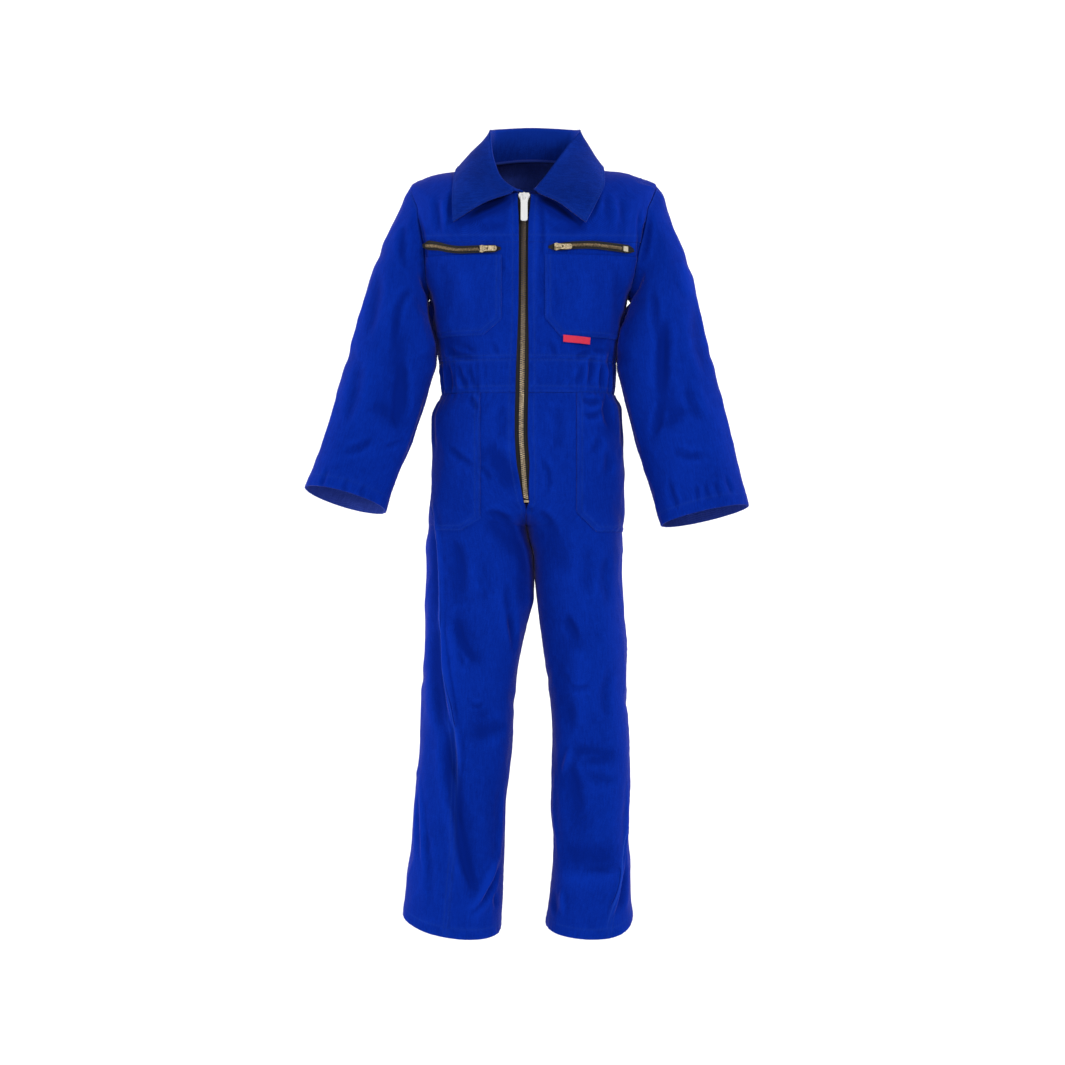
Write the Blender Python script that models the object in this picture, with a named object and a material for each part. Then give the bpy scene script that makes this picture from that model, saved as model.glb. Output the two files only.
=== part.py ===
"""A child's boiler suit, filled out as if it were worn: front zip from neck to crotch, turned-down
collar, two zipped chest pockets, puckered waistband, two hip pockets, long sleeves and straight legs.

Lengths are in millimetres until a mesh is made. +X is the wearer's left, the front faces -Y and
+Z is up. The origin is the level of the shoulders, where the wearer holds the suit up. Heights
are given as "down", the distance below that level.
"""
import math

import bmesh
import bpy
import numpy as np
from mathutils import Matrix, Vector

MM = 0.001                # one millimetre in Blender's metres
WALL = 1.4                # cloth, with its seam allowances
HEM_WALL = 2.2            # cloth folded twice at a cuff or a leg hem
COLLAR_WALL = 1.8         # two layers and a stiffener
SEAM_GAP = 0.3            # between two sewn pieces
PATCH_WALL = 1.2          # patch pockets that lie on a panel
PATCH_GAP = 1.0           # under a pocket, which does not lie tight on the panel
LABEL_WALL = 0.8

# Levels of the seams that run across the suit.
YOKE_SEAM = 84.5
WAIST_TOP = 214.0
WAIST_BOTTOM = 251.0
HEM = 852.0               # the mean level of a leg's hem
SHOULDER_TIP = 59.0       # ring of BODY on which the top of the armhole lies
UNDERARM = 138.0

# Main zip.
ZIP_TOP = 27.0
ZIP_END = 376.0
ZIP_OPENING = 7.3         # from the middle of the chain to the edge of the cloth
CHAIN_HALF = 3.1
CHAIN_DEPTH = 0.3         # from the suit's face to the chain's
CHAIN_WALL = 2.4
STOP_HALF = 2.6
TAPE_HALF = 10.5          # from the middle of the chain to the tape's hidden edge
TAPE_WALL = 0.8
TAPE_DEPTH = 2.7          # from the suit's face to the tape behind the front edges
SLIDER_LENGTH = 11.0
SLIDER_SUNK = 1.2         # how deep the slider sits between the front edges

SLIDER_TOP = ZIP_TOP + 0.6

SHOULDER_ROUND = 1.9      # power of the shoulder's roundness from front to back
SHOULDER_SEAM = math.radians(86)
SIDE = math.radians(90)
TURN = math.radians(360)
SIDES = ((-1, "right"), (1, "left"))
ON_EDGE = Matrix(((0, 0, 1, 0), (1, 0, 0, 0), (0, 1, 0, 0), (0, 0, 0, 1)))   # stands an outline up


def table(columns, rows):
    """A table as a dictionary from each column's name to its numbers."""
    return dict(zip(columns.split(), np.array(rows, float).T))


def smooth(at, keys, values):
    """Monotone cubic curve through (keys, values), read at any array of places."""
    step = np.diff(keys)
    slope = np.diff(values) / step
    bend = np.zeros(len(keys))
    bend[0], bend[-1] = slope[0], slope[-1]
    for i in range(1, len(keys) - 1):
        if slope[i - 1] * slope[i] > 0:
            before, after = 2 * step[i] + step[i - 1], step[i] + 2 * step[i - 1]
            bend[i] = (before + after) / (before / slope[i - 1] + after / slope[i])
    at = np.clip(at, keys[0], keys[-1])
    i = np.clip(np.searchsorted(keys, at) - 1, 0, len(step) - 1)
    t = (at - keys[i]) / step[i]
    return ((1 + 2 * t) * (1 - t) ** 2 * values[i] + t * (1 - t) ** 2 * step[i] * bend[i]
            + t * t * (3 - 2 * t) * values[i + 1] + t * t * (t - 1) * step[i] * bend[i + 1])


def read(source, column, at, key="down"):
    return smooth(at, source[key], source[column])


def ease(t):
    """0 to 1 with a soft start and end."""
    t = np.clip(t, 0, 1)
    return t * t * (3 - 2 * t)


# The bodice as rings from the neck to the waist. "down" is the ring's level at the front centre;
# side_down and back_down are its levels at the shoulder line and at the back centre.
BODY = table("down side_down back_down half front back centre_x power", [
    [27.0, -15, -26, 57, 63, 46, 3.5, 2.20],      # neck seam
    [32.0, -8, -19, 79, 67.5, 60, 4.0, 2.20],
    [40.0, -5, -9, 104, 73, 71, 5.0, 2.25],
    [49.0, 2, 7, 126, 77.5, 78, 5.0, 2.30],
    [59.0, 9.5, 28, 141, 81, 82, 4.0, 2.35],       # shoulder tips
    [71.0, 32, 54, 144, 84, 85, 3.0, 2.40],
    [84.5, 79, 84.5, 137, 86, 87, 2.0, 2.40],     # yoke seam
    [100.0, 98, 100, 132, 87, 88, 1.0, 2.40],
    [118.0, 117, 118, 125, 87, 88, 0.0, 2.40],
    [138.0, 138, 138, 113.5, 87, 87, -1.5, 2.40],  # underarm
    [160.0, 160, 160, 109.5, 85, 86, -2.5, 2.40],
    [185.0, 185, 185, 105, 83, 84, -3.5, 2.40],
    [214.0, 214, 214, 101.5, 79, 80, -2.9, 2.40],  # waistband
    [235.0, 235, 235, 100, 77, 78, -2.3, 2.40],
    [251.0, 251, 251, 99, 76, 78, -2.3, 2.40],
])

# Where the armhole cuts each ring: degrees from the front centre, and from the back centre.
ARMHOLE = table("down angle", [
    [59.0, 90], [61.5, 80], [65.0, 72], [71.0, 64.5], [84.5, 64.5], [100.0, 66],
    [118.0, 71], [130.0, 78], [135.5, 84], [138.0, 90],
])

# The middle of the zip, then the centre seam and the gap between the legs.
CENTRE = table("down x", [
    [27.0, -6.3], [71.0, -7.1], [127.0, -7.3], [182.0, -7.7], [238.0, -8.8], [294.0, -9.7],
    [338.0, -7.1], [366.0, -4.9], [376.0, -3.8], [393.0, -4.4], [400.0, -4.0], [416.0, -1.2],
    [430.0, 3.2], [457.0, 4.9], [483.0, 6.3], [900.0, 6.3],
])

# The trousers: right leg (-1) and left leg (+1). Above the crotch "inner" is where the ring would
# end if the other leg did not stop it at the centre seam. "seam_in" is how far the side seam has
# turned to the front from the leg's outer edge.
LEG_DEPTHS = table("down front back power", [
    [251, 76, 78, 2.40], [268, 80, 84, 2.35], [300, 80, 88, 2.30], [340, 79, 90, 2.25],
    [380, 75, 87, 2.20], [400, 72, 82, 2.15], [430, 68, 78, 2.15], [483, 65, 72, 2.15],
    [560, 60, 64, 2.15], [650, 55, 58, 2.15], [750, 52, 54, 2.15], [852, 51, 52, 2.15],
])
LEGS = {
    -1: table("down outer inner seam_in", [
        [251, -101.3, 96.7, 0], [257, -104.5, 99.5, 0], [265, -111, 107, 0], [290, -111, 107.5, 0],
        [320, -110.4, 103, 0], [340, -110.4, 88, 0], [360, -112, 62, 1], [376, -114.5, 36, 3],
        [386, -115.3, 18, 6], [393, -116, 5, 8], [397, -116.3, -1, 9], [400, -116.5, -4.3, 9.5],
        [416, -117.6, -2.2, 12], [430, -118.3, 2.2, 13.5], [457, -118.5, 4.1, 16],
        [483, -119.6, 4.6, 18], [501, -119.6, 0, 19],
        [538, -120.8, -9.2, 21], [575, -123.1, -15, 29], [612, -125.4, -18.4, 38],
        [649, -126.5, -19.6, 43], [685, -130, -24.2, 47], [722, -133.4, -28.8, 50],
        [759, -135.7, -29.9, 52], [796, -140.3, -29.9, 53], [833, -143.8, -32.2, 53],
        [852, -145.5, -33.5, 53],
    ]),
    1: table("down outer inner seam_in", [
        [251, 96.7, -101.3, 0], [257, 100, -105, 0], [265, 103.8, -109.5, 0], [290, 104.6, -110.5, 0],
        [320, 105, -110, 0], [340, 106.3, -96, 0], [360, 106.5, -70, 0], [376, 106.8, -44, 0],
        [386, 107, -26, 0], [393, 107, -13, 0], [397, 106.8, -7, 0], [400, 106.6, -3.7, 0],
        [416, 106, -0.4, 0], [430, 105.8, 4.2, 0], [457, 105.8, 5.8, 0],
        [483, 107, 8.1, 0], [501, 108.1, 10.4, 0],
        [538, 111.6, 15, 0], [575, 110.4, 20.7, 0], [612, 111.6, 24.2, 0],
        [649, 113.9, 25.3, 0], [685, 115, 24.2, 0], [722, 113.9, 24.2, 0],
        [759, 112.7, 27.6, 5], [796, 115, 25.3, 13], [833, 116.2, 20.7, 27],
        [852, 118.5, 18.4, 33],
    ]),
}
# How much lower than HEM a leg's hem hangs at its inner edge, its front and its back, and how far
# its lowest point lies towards the outer side.
HEM_WAVE = {-1: {"inner": 8.0, "front": 13.5, "back": -2.0, "skew": 0.0},
            1: {"inner": 4.5, "front": 15.0, "back": -2.0, "skew": 0.35}}
HEM_WAVE_START = 760.0

# The sleeves: the outer and inner ends of each ring, its middle in Y and half its depth.
SLEEVES = {
    -1: table("along outer_x outer_down inner_x inner_down mid_y half_depth", [
        [0, -137, 10, -115, 138, 0, 45], [12, -150, 21, -116.5, 147, -2, 46],
        [35, -162, 47, -114.5, 157, -6, 46], [62, -171, 76, -111.2, 168, -13, 45],
        [98, -180.8, 113, -107.6, 184, -21, 44], [145, -193.5, 158, -104.4, 206, -25, 43],
        [195, -206.5, 207, -111.5, 238, -27, 41], [255, -223, 262, -130, 294, -30, 39],
        [310, -239.5, 318, -149.5, 340, -34, 37], [350, -254.5, 358, -163, 383.5, -38, 37],
    ]),
    1: table("along outer_x outer_down inner_x inner_down mid_y half_depth", [
        [0, 145, 11, 112, 138, 0, 45], [12, 159.5, 24, 113.5, 146, -2, 46],
        [35, 169.5, 50, 109.5, 157, -6, 46], [62, 177.5, 80, 105.4, 168, -13, 45],
        [98, 184.5, 118, 100.6, 184, -21, 44], [145, 194.8, 160, 98.4, 208, -25, 43],
        [195, 206, 209, 104, 238, -27, 41], [255, 220.5, 265, 117.5, 296, -30, 40],
        [315, 234, 322, 135, 356, -35, 39], [370, 247.5, 378, 148.5, 400, -40, 38],
    ]),
}
# How far from the armhole a sleeve takes its own oval shape, under the arm and over it.
SLEEVE_BLEND = (22.0, 110.0)
# How far a cuff's front edge is raised, as a share of its half depth.
CUFF_TILT = {-1: 0.26, 1: 0.18}

# The collar from its right front end, round the back of the neck, to its left front end:
# the angle of its foot on the neck seam, the top of the roll, the middle of the fall and its edge.
COLLAR = table("station angle roll_x roll_y roll_down mid_x mid_y mid_down edge_x edge_y edge_down", [
    [0, -11, -17.5, -68, 24.0, -50, -76.5, 39.0, -85.7, -76, 61.0],
    [1, -35, -34, -58, 8, -58, -65, 18, -87.3, -65.5, 35],
    [2, -62, -44.5, -29, -29, -71, -39, -8, -86.5, -46, 12],
    [3, -90, -46, -3, -53, -67, -4, -28, -82.0, -7, -10.5],
    [4, -125, -41, 28, -60, -56, 38, -34, -66, 44, -13],
    [5, -180, 4, 44, -65, 4, 58, -44, 4, 67, -20],
    [6, -235, 50, 28, -60, 64, 38, -34, 75, 44, -13],
    [7, -270, 57.5, -3, -54, 72, -4, -28, 83.5, -7, -10.5],
    [8, -298, 42, -28, -31, 70, -39, -8, 84.5, -48, 12],
    [9, -325, 21.5, -54, 1, 50, -65, 18, 75, -72, 38],
    [10, -349, 6, -68, 23.0, 31, -76, 38.5, 62.5, -83.5, 62.8],
])
COLLAR_LIFT = 1.6         # from the body to the middle of the collar's foot
COLLAR_ROLL = 1.7         # half the width of the rolled fold

# Patch pockets: the inner edge and where its chamfer starts and ends.
CHEST_POCKETS = {
    -1: {"inner": -31.3, "chamfer": 170.0, "corner": -52.3, "bottom": 187.6},
    1: {"inner": 16.8, "chamfer": 168.7, "corner": 34.6, "bottom": 189.0},
}
HIP_POCKETS = {
    -1: {"inner": -55.5, "chamfer": 392.6, "corner": -76.7, "bottom": 405.5},
    1: {"inner": 52.0, "chamfer": 385.0, "corner": 74.5, "bottom": 407.0},
}
CHEST_POCKET_TOP = 98.5
HIP_POCKET_TOP = WAIST_BOTTOM + 3.5
PATCH_LIFT = PATCH_GAP + PATCH_WALL   # from the panel under a pocket to the pocket's face
POCKET_INSET = math.radians(1.8)      # from the armhole or the side seam
POCKET_SIDE = math.radians(76)        # where a chest pocket ends under the arm

# Chest pocket zips: the line of the chain from the centre outwards.
CHEST_ZIPS = {
    -1: table("x down", [
        [-122, 86.5], [-105, 88.0], [-85, 92.0], [-75, 92.8], [-55, 92.4], [-30, 92.0],
    ]),
    1: table("x down", [
        [14, 90.5], [31, 90.2], [48, 88.4], [68, 87.8], [89, 89.3], [118, 91.6],
    ]),
}
CHEST_TAPE = {-1: (-120.0, -32.2), 1: (20.5, 117.0)}       # from end to end in X
CHEST_CHAIN = {-1: (-116.5, -55.9), 1: (36.9, 102.5)}
CHEST_TAPE_HALF = 4.9
CHEST_TAPE_LIFT = PATCH_GAP + TAPE_WALL                    # from the suit's face to the tape's
CHEST_CHAIN_HALF = 2.1
CHEST_CHAIN_WALL = 1.2
CHEST_CHAIN_LIFT = CHEST_TAPE_LIFT + CHEST_CHAIN_WALL + SEAM_GAP
CHEST_STOP = {"from": 103.0, "to": 108.0, "half": 2.6, "wall": 1.6, "proud": 0.4}
CHEST_SLIDER_X = {-1: -50.9, 1: 31.4}

# The label's ends in X, the level of its top, its height and how far its outer end drops.
LABEL = {"x": (36.9, 66.8), "top": 187.0, "height": 7.8, "tilt": 2.2}

# Sliders and their pulls: the pull's eye goes round the crown's bar.
MAIN_SLIDER = {"width": 12.9, "length": SLIDER_LENGTH, "thickness": 2.0, "sunk": SLIDER_SUNK, "pivot": 0.5}
CHEST_SLIDER = {"width": 8.4, "length": 8.6, "thickness": 1.5, "sunk": 0.0, "pivot": 0.0}
SLIDER_REACH = 25.0       # how far below the middle of the main slider the zip's line is that it points at
MAIN_PULL = {"width": 7.6, "length": 33.5, "lean": 3.0}    # the lean is towards the suit, in degrees
CHEST_PULL = {"width": 5.8, "length": 15.0, "lean": 0.0}
CROWN = {"rise": 3.0, "bar": 0.9, "width": 1.8, "clearance": 0.55, "root": 0.5}
PULL_BAR = 1.0            # thickness of a pull
PULL_RISE = 1.1           # from the slider's face to the hinge line
EYE_END = 5.6             # from the hinge line to the eye's far end, past the crown's corner
EYE_SPARE = 0.5           # between the crown and each side of the eye

# The largest folds: lines on the cloth, each a soft trough (height below 0) or ridge, with how far
# to its side it fades out. "front" is 1 on the front of the suit and -1 on its back.
FOLD_COLUMNS = "front x_from down_from x_to down_to width height"
FOLDS = {
    "trunk": table(FOLD_COLUMNS, [
        [1, -102, 186, -62, 205, 9, -2.2],        # below the right chest pocket
        [1, 50, 203, 88, 190, 9, -2.2],           # below the left chest pocket
        [1, -52, 310, -22, 360, 12, -2.6],        # from the right hip pocket to the zip's end
        [1, 84, 262, 90, 300, 13, -1.8],          # on the left hip pocket
        [1, -46, 388, -8, 440, 9, -3.4],          # right inner thigh
        [1, -8, 440, -8, 490, 8, -2.4],
        [1, 20, 400, 38, 450, 11, -2.2],          # left inner thigh
        [1, -92, 422, -78, 492, 10, -2.6],        # right thigh
        [1, -82, 500, -58, 556, 9, -3.0],
        [1, 40, 500, 54, 540, 10, -2.4],          # left thigh
        [1, -50, 605, -64, 640, 10, -2.6],        # right knee
        [1, -86, 660, -54, 822, 11, -4.6],        # the long fold down the right shin
        [1, -40, 782, -64, 842, 8, 3.0],
        [1, 46, 650, 96, 664, 9, -2.6],           # left knee
        [1, 47, 672, 60, 750, 11, -3.6],
        [1, 34, 776, 98, 782, 10, -3.4],          # across the left shin, with the ridge under it
        [1, 30, 798, 96, 802, 9, 2.6],
        [-1, -64, 90, 58, 96, 22, -2.0],          # between the shoulder blades
        [-1, -80, 190, 70, 196, 14, -3.0],        # above the waistband
        [-1, -70, 378, -20, 412, 13, -3.0],       # under the seat
        [-1, 70, 378, 20, 412, 13, -3.0],
        [-1, -112, 560, -50, 600, 12, -3.4],      # backs of the knees
        [-1, -108, 640, -52, 612, 12, -3.0],
        [-1, 44, 590, 98, 562, 12, -3.2],
        [-1, 44, 612, 98, 640, 12, -3.0],
        [-1, -80, 700, -88, 800, 13, -3.0],
        [-1, 66, 690, 72, 800, 13, -3.0],
    ]),
    "sleeve": table(FOLD_COLUMNS, [
        [1, -146, 165, -150, 285, 10, -3.0],
        [1, -176, 262, -142, 286, 8, -2.4],
        [1, 150, 178, 152, 280, 10, -3.0],
        [1, 178, 268, 142, 290, 8, -2.4],
        [-1, -160, 190, -186, 300, 11, -3.0],
        [-1, -205, 262, -150, 272, 10, -2.8],
        [-1, 160, 190, 184, 300, 11, -3.0],
        [-1, 205, 262, 148, 276, 10, -2.8],
    ]),
}
# The waistband's elastic: waves round the whole band, from this far beside the zip.
GATHERS = {"waves": 40, "height": 1.0, "start": math.radians(32), "full": math.radians(46),
           "fade": 10.0}

# The rows of points down each piece, closer together where the shape turns.
YOKE_ROWS = [ZIP_TOP, 31, 36, 42, 50, 56, SHOULDER_TIP, 61.5, 65, 71, 77, YOKE_SEAM]
FRONT_ROWS = [YOKE_SEAM, 92, 100, 109, 118, 124, 130, 135.5, UNDERARM, 148, 162, 176, 188, 201,
              WAIST_TOP]
BACK_ROWS = [ZIP_TOP, 31, 36, 42, 50, 56, SHOULDER_TIP, 61.5, 65, 71, 84.5, 100, 118, 130, 135.5,
             UNDERARM, 152, 170, 192, WAIST_TOP]
TROUSER_ROWS = [WAIST_BOTTOM, 261, 279, 303, 328, 350, 368, 378, 386, 391, 395, 398, 401, 416, 430,
                452, 480, 510, 542, 574, 606, 636, 662, 690, 718, 746, 770, 786, 802, 820, 838,
                840.5, HEM]
LEG_HEM = 839.0           # below this level the leg's cloth is folded up
CUFF = 13.0               # depth of a cuff's fold
SLEEVE_ROWS = {-1: [1, 8, 20, 35, 55, 80, 110, 145, 185, 230, 275, 315, 336, 338, 350],
               1: [1, 8, 20, 35, 55, 80, 110, 145, 190, 240, 290, 335, 356, 358, 370]}
SLEEVE_SIDES = 20
COLLAR_COLUMNS = 27
COLLAR_ROWS = [0, 0.2, 0.38, 0.42, 0.45, 0.48, 0.52, 0.65, 0.82, 1.0]
ZIP_ROWS = 26


def ring(middle, half, front, back, power, angle):
    """A rounded ring; angle 0 is the front, +90 degrees is +X. Also how far round it turns to Y."""
    across = np.sin(angle)
    reach = np.maximum(1 - np.abs(across) ** power, 0) ** (1 / power)
    return middle + half * across, np.where(np.cos(angle) >= 0, -front, back) * reach, reach


def body(down, angle):
    """A point of the bodice's outer face."""
    at = {column: read(BODY, column, down) for column in BODY if column != "down"}
    x, y, reach = ring(at["centre_x"], at["half"], at["front"], at["back"], at["power"], angle)
    middle = np.where(np.cos(angle) >= 0, down, at["back_down"])
    level = at["side_down"] + (middle - at["side_down"]) * reach ** SHOULDER_ROUND
    return np.stack(np.broadcast_arrays(x, y, -level), -1)


def leg_ring(side, down):
    outer, inner = read(LEGS[side], "outer", down), read(LEGS[side], "inner", down)
    return (outer + inner) / 2, np.abs(outer - inner) / 2


def leg(side):
    """The outer face of one half of the trousers."""
    wave = HEM_WAVE[side]

    def surface(down, angle):
        middle, half = leg_ring(side, down)
        front, back, power = (read(LEG_DEPTHS, column, down) for column in ("front", "back", "power"))
        x, y, reach = ring(middle, half, front, back, power, angle)
        dip = np.where(np.cos(angle) >= 0, wave["front"], wave["back"]) * reach
        dip = dip * (1 + wave["skew"] * side * np.sin(angle))
        dip = dip - side * np.sin(angle) * wave["inner"]
        level = down + dip * ease((down - HEM_WAVE_START) / (HEM - HEM_WAVE_START))
        return np.stack(np.broadcast_arrays(x, y, -level), -1)

    return surface


def armhole_angle(down):
    return np.radians(read(ARMHOLE, "angle", down))


def armhole(side, turn):
    """The armhole's edge: turn 0 is the shoulder tip, 90 degrees the front, 180 the underarm."""
    rows = SHOULDER_TIP + (UNDERARM - SHOULDER_TIP) * ease(np.linspace(0, 1, 80))
    front = body(rows, side * armhole_angle(rows))
    back = body(rows, side * (math.pi - armhole_angle(rows)))
    loop = np.concatenate([front, back[-2::-1]])
    length = np.concatenate([[0], np.cumsum(np.linalg.norm(np.diff(loop, axis=0), axis=1))])
    middle = length[len(front) - 1]
    share = np.where(length <= middle, length / middle, 1 + (length - middle) / (length[-1] - middle)) / 2
    at = np.mod(turn / TURN, 1.0)
    return np.stack([np.interp(at, share, loop[:, axis]) for axis in range(3)], -1)


def sleeve(side):
    """The outer face of a sleeve: from the armhole's loop to an oval tube."""
    shape = SLEEVES[side]

    def end(name, along):
        columns = name + "_x", name + "_down", "mid_y"
        x, down, y = (read(shape, column, along, "along") for column in columns)
        return np.stack(np.broadcast_arrays(x, y, -down), -1)

    def surface(along, turn):
        outer, inner = end("outer", along), end("inner", along)
        middle, start = (outer + inner) / 2, (end("outer", 0.0) + end("inner", 0.0)) / 2
        depth = read(shape, "half_depth", along, "along")
        raised = depth * CUFF_TILT[side] * ease(along / shape["along"][-1])
        across = np.stack(np.broadcast_arrays(0.0, -depth, raised), -1)
        oval = middle + (outer - middle) * np.cos(turn)[..., None] + across * np.sin(turn)[..., None]
        under, over = SLEEVE_BLEND
        blend = ease(along / (under + (over - under) * (1 + np.cos(turn)) / 2))[..., None]
        return (1 - blend) * (armhole(side, turn) + middle - start) + blend * oval

    return surface


def angle_at(middle, half, x):
    """The angle on a ring's front at which it passes x."""
    return np.arcsin(np.clip((x - middle) / half, -1, 1))


def body_angle(down, x):
    return angle_at(read(BODY, "centre_x", down), read(BODY, "half", down), x)


def leg_angle(side, down, x):
    return angle_at(*leg_ring(side, down), x)


def opening_half(down):
    """Half the slot for the zip, which closes to the centre seam below the zip's end."""
    return ZIP_OPENING + (SEAM_GAP / 2 - ZIP_OPENING) * ease((down - ZIP_END + 3) / 7)


def normals(surface, down, angle, facing=1):
    """Unit normals of a surface, out of the suit."""
    step_down, step_angle = 0.4, 0.004
    along = surface(down + step_down, angle) - surface(down - step_down, angle)
    around = surface(down, angle + step_angle) - surface(down, angle - step_angle)
    normal = np.cross(along, around) * facing
    return normal / np.maximum(np.linalg.norm(normal, axis=-1, keepdims=True), 1e-9)


def fold_height(folds, points, front):
    """How far the folds of one side lift the cloth at some points."""
    height = np.zeros(points.shape[:-1])
    place = np.stack([points[..., 0], -points[..., 2]], -1)
    for row in np.flatnonzero(folds["front"] == front):
        start = np.array([folds["x_from"][row], folds["down_from"][row]])
        run = np.array([folds["x_to"][row], folds["down_to"][row]]) - start
        share = (place - start) @ run / (run @ run)
        aside = (place - start) @ np.array([-run[1], run[0]]) / np.linalg.norm(run)
        ends = ease((share + 0.15) / 0.4) * ease((1.15 - share) / 0.4)
        height += folds["height"][row] * np.exp(-(aside / folds["width"][row]) ** 2) * ends
    return height


def gather_height(points):
    """The waves of the waistband's elastic, flat again at both of its seams."""
    down = -points[..., 2]
    turn = np.arctan2(points[..., 0], -points[..., 1])
    share = ease((np.abs(turn) - GATHERS["start"]) / (GATHERS["full"] - GATHERS["start"]))
    share = share * ease((down - WAIST_TOP) / GATHERS["fade"])
    share = share * ease((WAIST_BOTTOM - down) / GATHERS["fade"])
    return GATHERS["height"] * share * np.cos(GATHERS["waves"] * turn)


def folded(surface, part="trunk", facing=1):
    """A surface with its folds, and the trunk's gathers at the waist."""
    folds = FOLDS[part]

    def wrinkled(down, angle):
        points, outward = surface(down, angle), normals(surface, down, angle, facing)
        front = ease(-outward[..., 1] * 1.6) * fold_height(folds, points, 1)
        back = ease(outward[..., 1] * 1.6) * fold_height(folds, points, -1)
        gathers = gather_height(points) if part == "trunk" else 0.0
        return points + outward * (front + back + gathers)[..., None]

    return wrinkled


def pull_in(points, gap, axis):
    """Move the two end rows of a grid along it, for half the gap to the next piece."""
    points = np.moveaxis(points, axis, 0)
    for edge, inside in ((0, 1), (-1, -2)):
        step = points[inside] - points[edge]
        length = np.maximum(np.linalg.norm(step, axis=-1, keepdims=True), 1e-9)
        points[edge] += step / length * gap
    return np.moveaxis(points, 0, axis)


def material(name, colour, roughness, metallic=0.0):
    made = bpy.data.materials.new(name)
    made.use_nodes = True
    shader = made.node_tree.nodes["Principled BSDF"]
    shader.inputs["Base Color"].default_value = (*colour, 1)
    shader.inputs["Roughness"].default_value = roughness
    shader.inputs["Metallic"].default_value = metallic
    return made


def closed_grid(name, outer, inner, look, around=False):
    """Two grids of points, closed along their rims into one solid."""
    rows, columns = outer.shape[:2]
    vertices = np.concatenate([outer.reshape(-1, 3), inner.reshape(-1, 3)]) * MM
    below = rows * columns

    def at(row, column):
        return row * columns + column % columns

    faces = []
    last = columns if around else columns - 1
    for row in range(rows - 1):
        for column in range(last):
            a, b = at(row, column), at(row, column + 1)
            c, d = at(row + 1, column + 1), at(row + 1, column)
            faces += [(a, b, c, d), (d + below, c + below, b + below, a + below)]
    for column in range(last):
        for row, turn in ((0, 1), (rows - 1, -1)):
            a, b = at(row, column), at(row, column + 1)
            faces.append((b, a, a + below, b + below)[::turn])
    if not around:
        for row in range(rows - 1):
            for column, turn in ((0, 1), (columns - 1, -1)):
                a, d = at(row, column), at(row + 1, column)
                faces.append((a, d, d + below, a + below)[::turn])
    mesh = bpy.data.meshes.new(name)
    mesh.from_pydata(vertices.tolist(), [], faces)
    outward = bmesh.new()
    outward.from_mesh(mesh)
    if outward.calc_volume(signed=True) < 0:
        bmesh.ops.reverse_faces(outward, faces=outward.faces[:])
    outward.to_mesh(mesh)
    outward.free()
    return place(name, mesh, look)


def place(name, mesh, look):
    mesh.materials.append(look)
    mesh.shade_smooth()
    mesh.set_sharp_from_angle(angle=math.radians(40))
    made = bpy.data.objects.new(name, mesh)
    PARTS.objects.link(made)
    return made


def panel(name, surface, rows, edges, columns, look, wall=WALL, lift=0.0):
    """A sewn piece: rows across it, each from one edge's angle to the other's."""
    down = np.asarray(rows, float)[:, None]
    start, end = (np.broadcast_to(edge(down), down.shape) for edge in edges)
    angle = start + (end - start) * np.linspace(0, 1, columns)[None, :]
    down = np.broadcast_to(down, angle.shape)
    points, outward = surface(down, angle), normals(surface, down, angle)
    points = pull_in(pull_in(points, SEAM_GAP / 2, 0), SEAM_GAP / 2, 1)
    thick = np.broadcast_to(np.asarray(wall, float), down.shape[:1])[:, None, None]
    return closed_grid(name, points + outward * lift, points + outward * (lift - thick), look)


def fixed(angle):
    return lambda down: angle


def zip_edge(side, ring_angle):
    """The edge of the front opening beside the zip."""
    return lambda down: ring_angle(down, read(CENTRE, "x", down) + side * opening_half(down))


def shoulder_or_armhole(down):
    """The outer edge of the front: shoulder seam, armhole, then side seam."""
    seam = SHOULDER_SEAM + (SIDE - SHOULDER_SEAM) * ease((down - 52) / (SHOULDER_TIP - 52))
    return np.where(down <= SHOULDER_TIP, seam, np.where(down < UNDERARM, armhole_angle(down), SIDE))


def back_edge(down):
    """The same edge on the back, measured from the front centre."""
    return np.where(down <= SHOULDER_TIP, shoulder_or_armhole(down), math.pi - shoulder_or_armhole(down))


def front_edge(side, inset=0.0, limit=SIDE):
    """The outer edge of a front, or of what lies on it, on one side of the suit."""
    return lambda down: side * np.minimum(shoulder_or_armhole(down) - inset, limit)


def make_bodice(look):
    cloth = folded(body)
    for side, word in SIDES:
        edges = zip_edge(side, body_angle), front_edge(side)
        panel(f"front_yoke_{word}", cloth, YOKE_ROWS, edges, 9, look)
        panel(f"front_{word}", cloth, FRONT_ROWS, edges, 9, look)
    panel("back", cloth, BACK_ROWS, (back_edge, lambda down: TURN - back_edge(down)), 17, look)


def make_waistband(look):
    cloth = folded(body)
    rows = np.linspace(WAIST_TOP, WAIST_BOTTOM, 4)
    for side, word in SIDES:
        edges = zip_edge(side, body_angle), fixed(side * SIDE)
        panel(f"waistband_{word}", cloth, rows, edges, 41, look)
    panel("waistband_back", cloth, rows, (fixed(SIDE), fixed(TURN - SIDE)), 77, look)


def centre_edge(side):
    """The zip opening and the centre seam, then the inside leg seam."""
    return zip_edge(side, lambda down, x: leg_angle(side, down, x))


def back_centre_edge(side):
    """The centre back seam, then the inside leg seam, reached round the outside of the leg."""
    def edge(down):
        return side * math.pi - leg_angle(side, down, read(CENTRE, "x", down) + side * SEAM_GAP / 2)
    return edge


def side_seam(side, inset=0.0):
    """The side seam of a leg, or a line beside it on the front."""
    def edge(down):
        outer, turned = read(LEGS[side], "outer", down), read(LEGS[side], "seam_in", down)
        return leg_angle(side, down, outer - side * turned) - side * inset
    return edge


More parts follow.
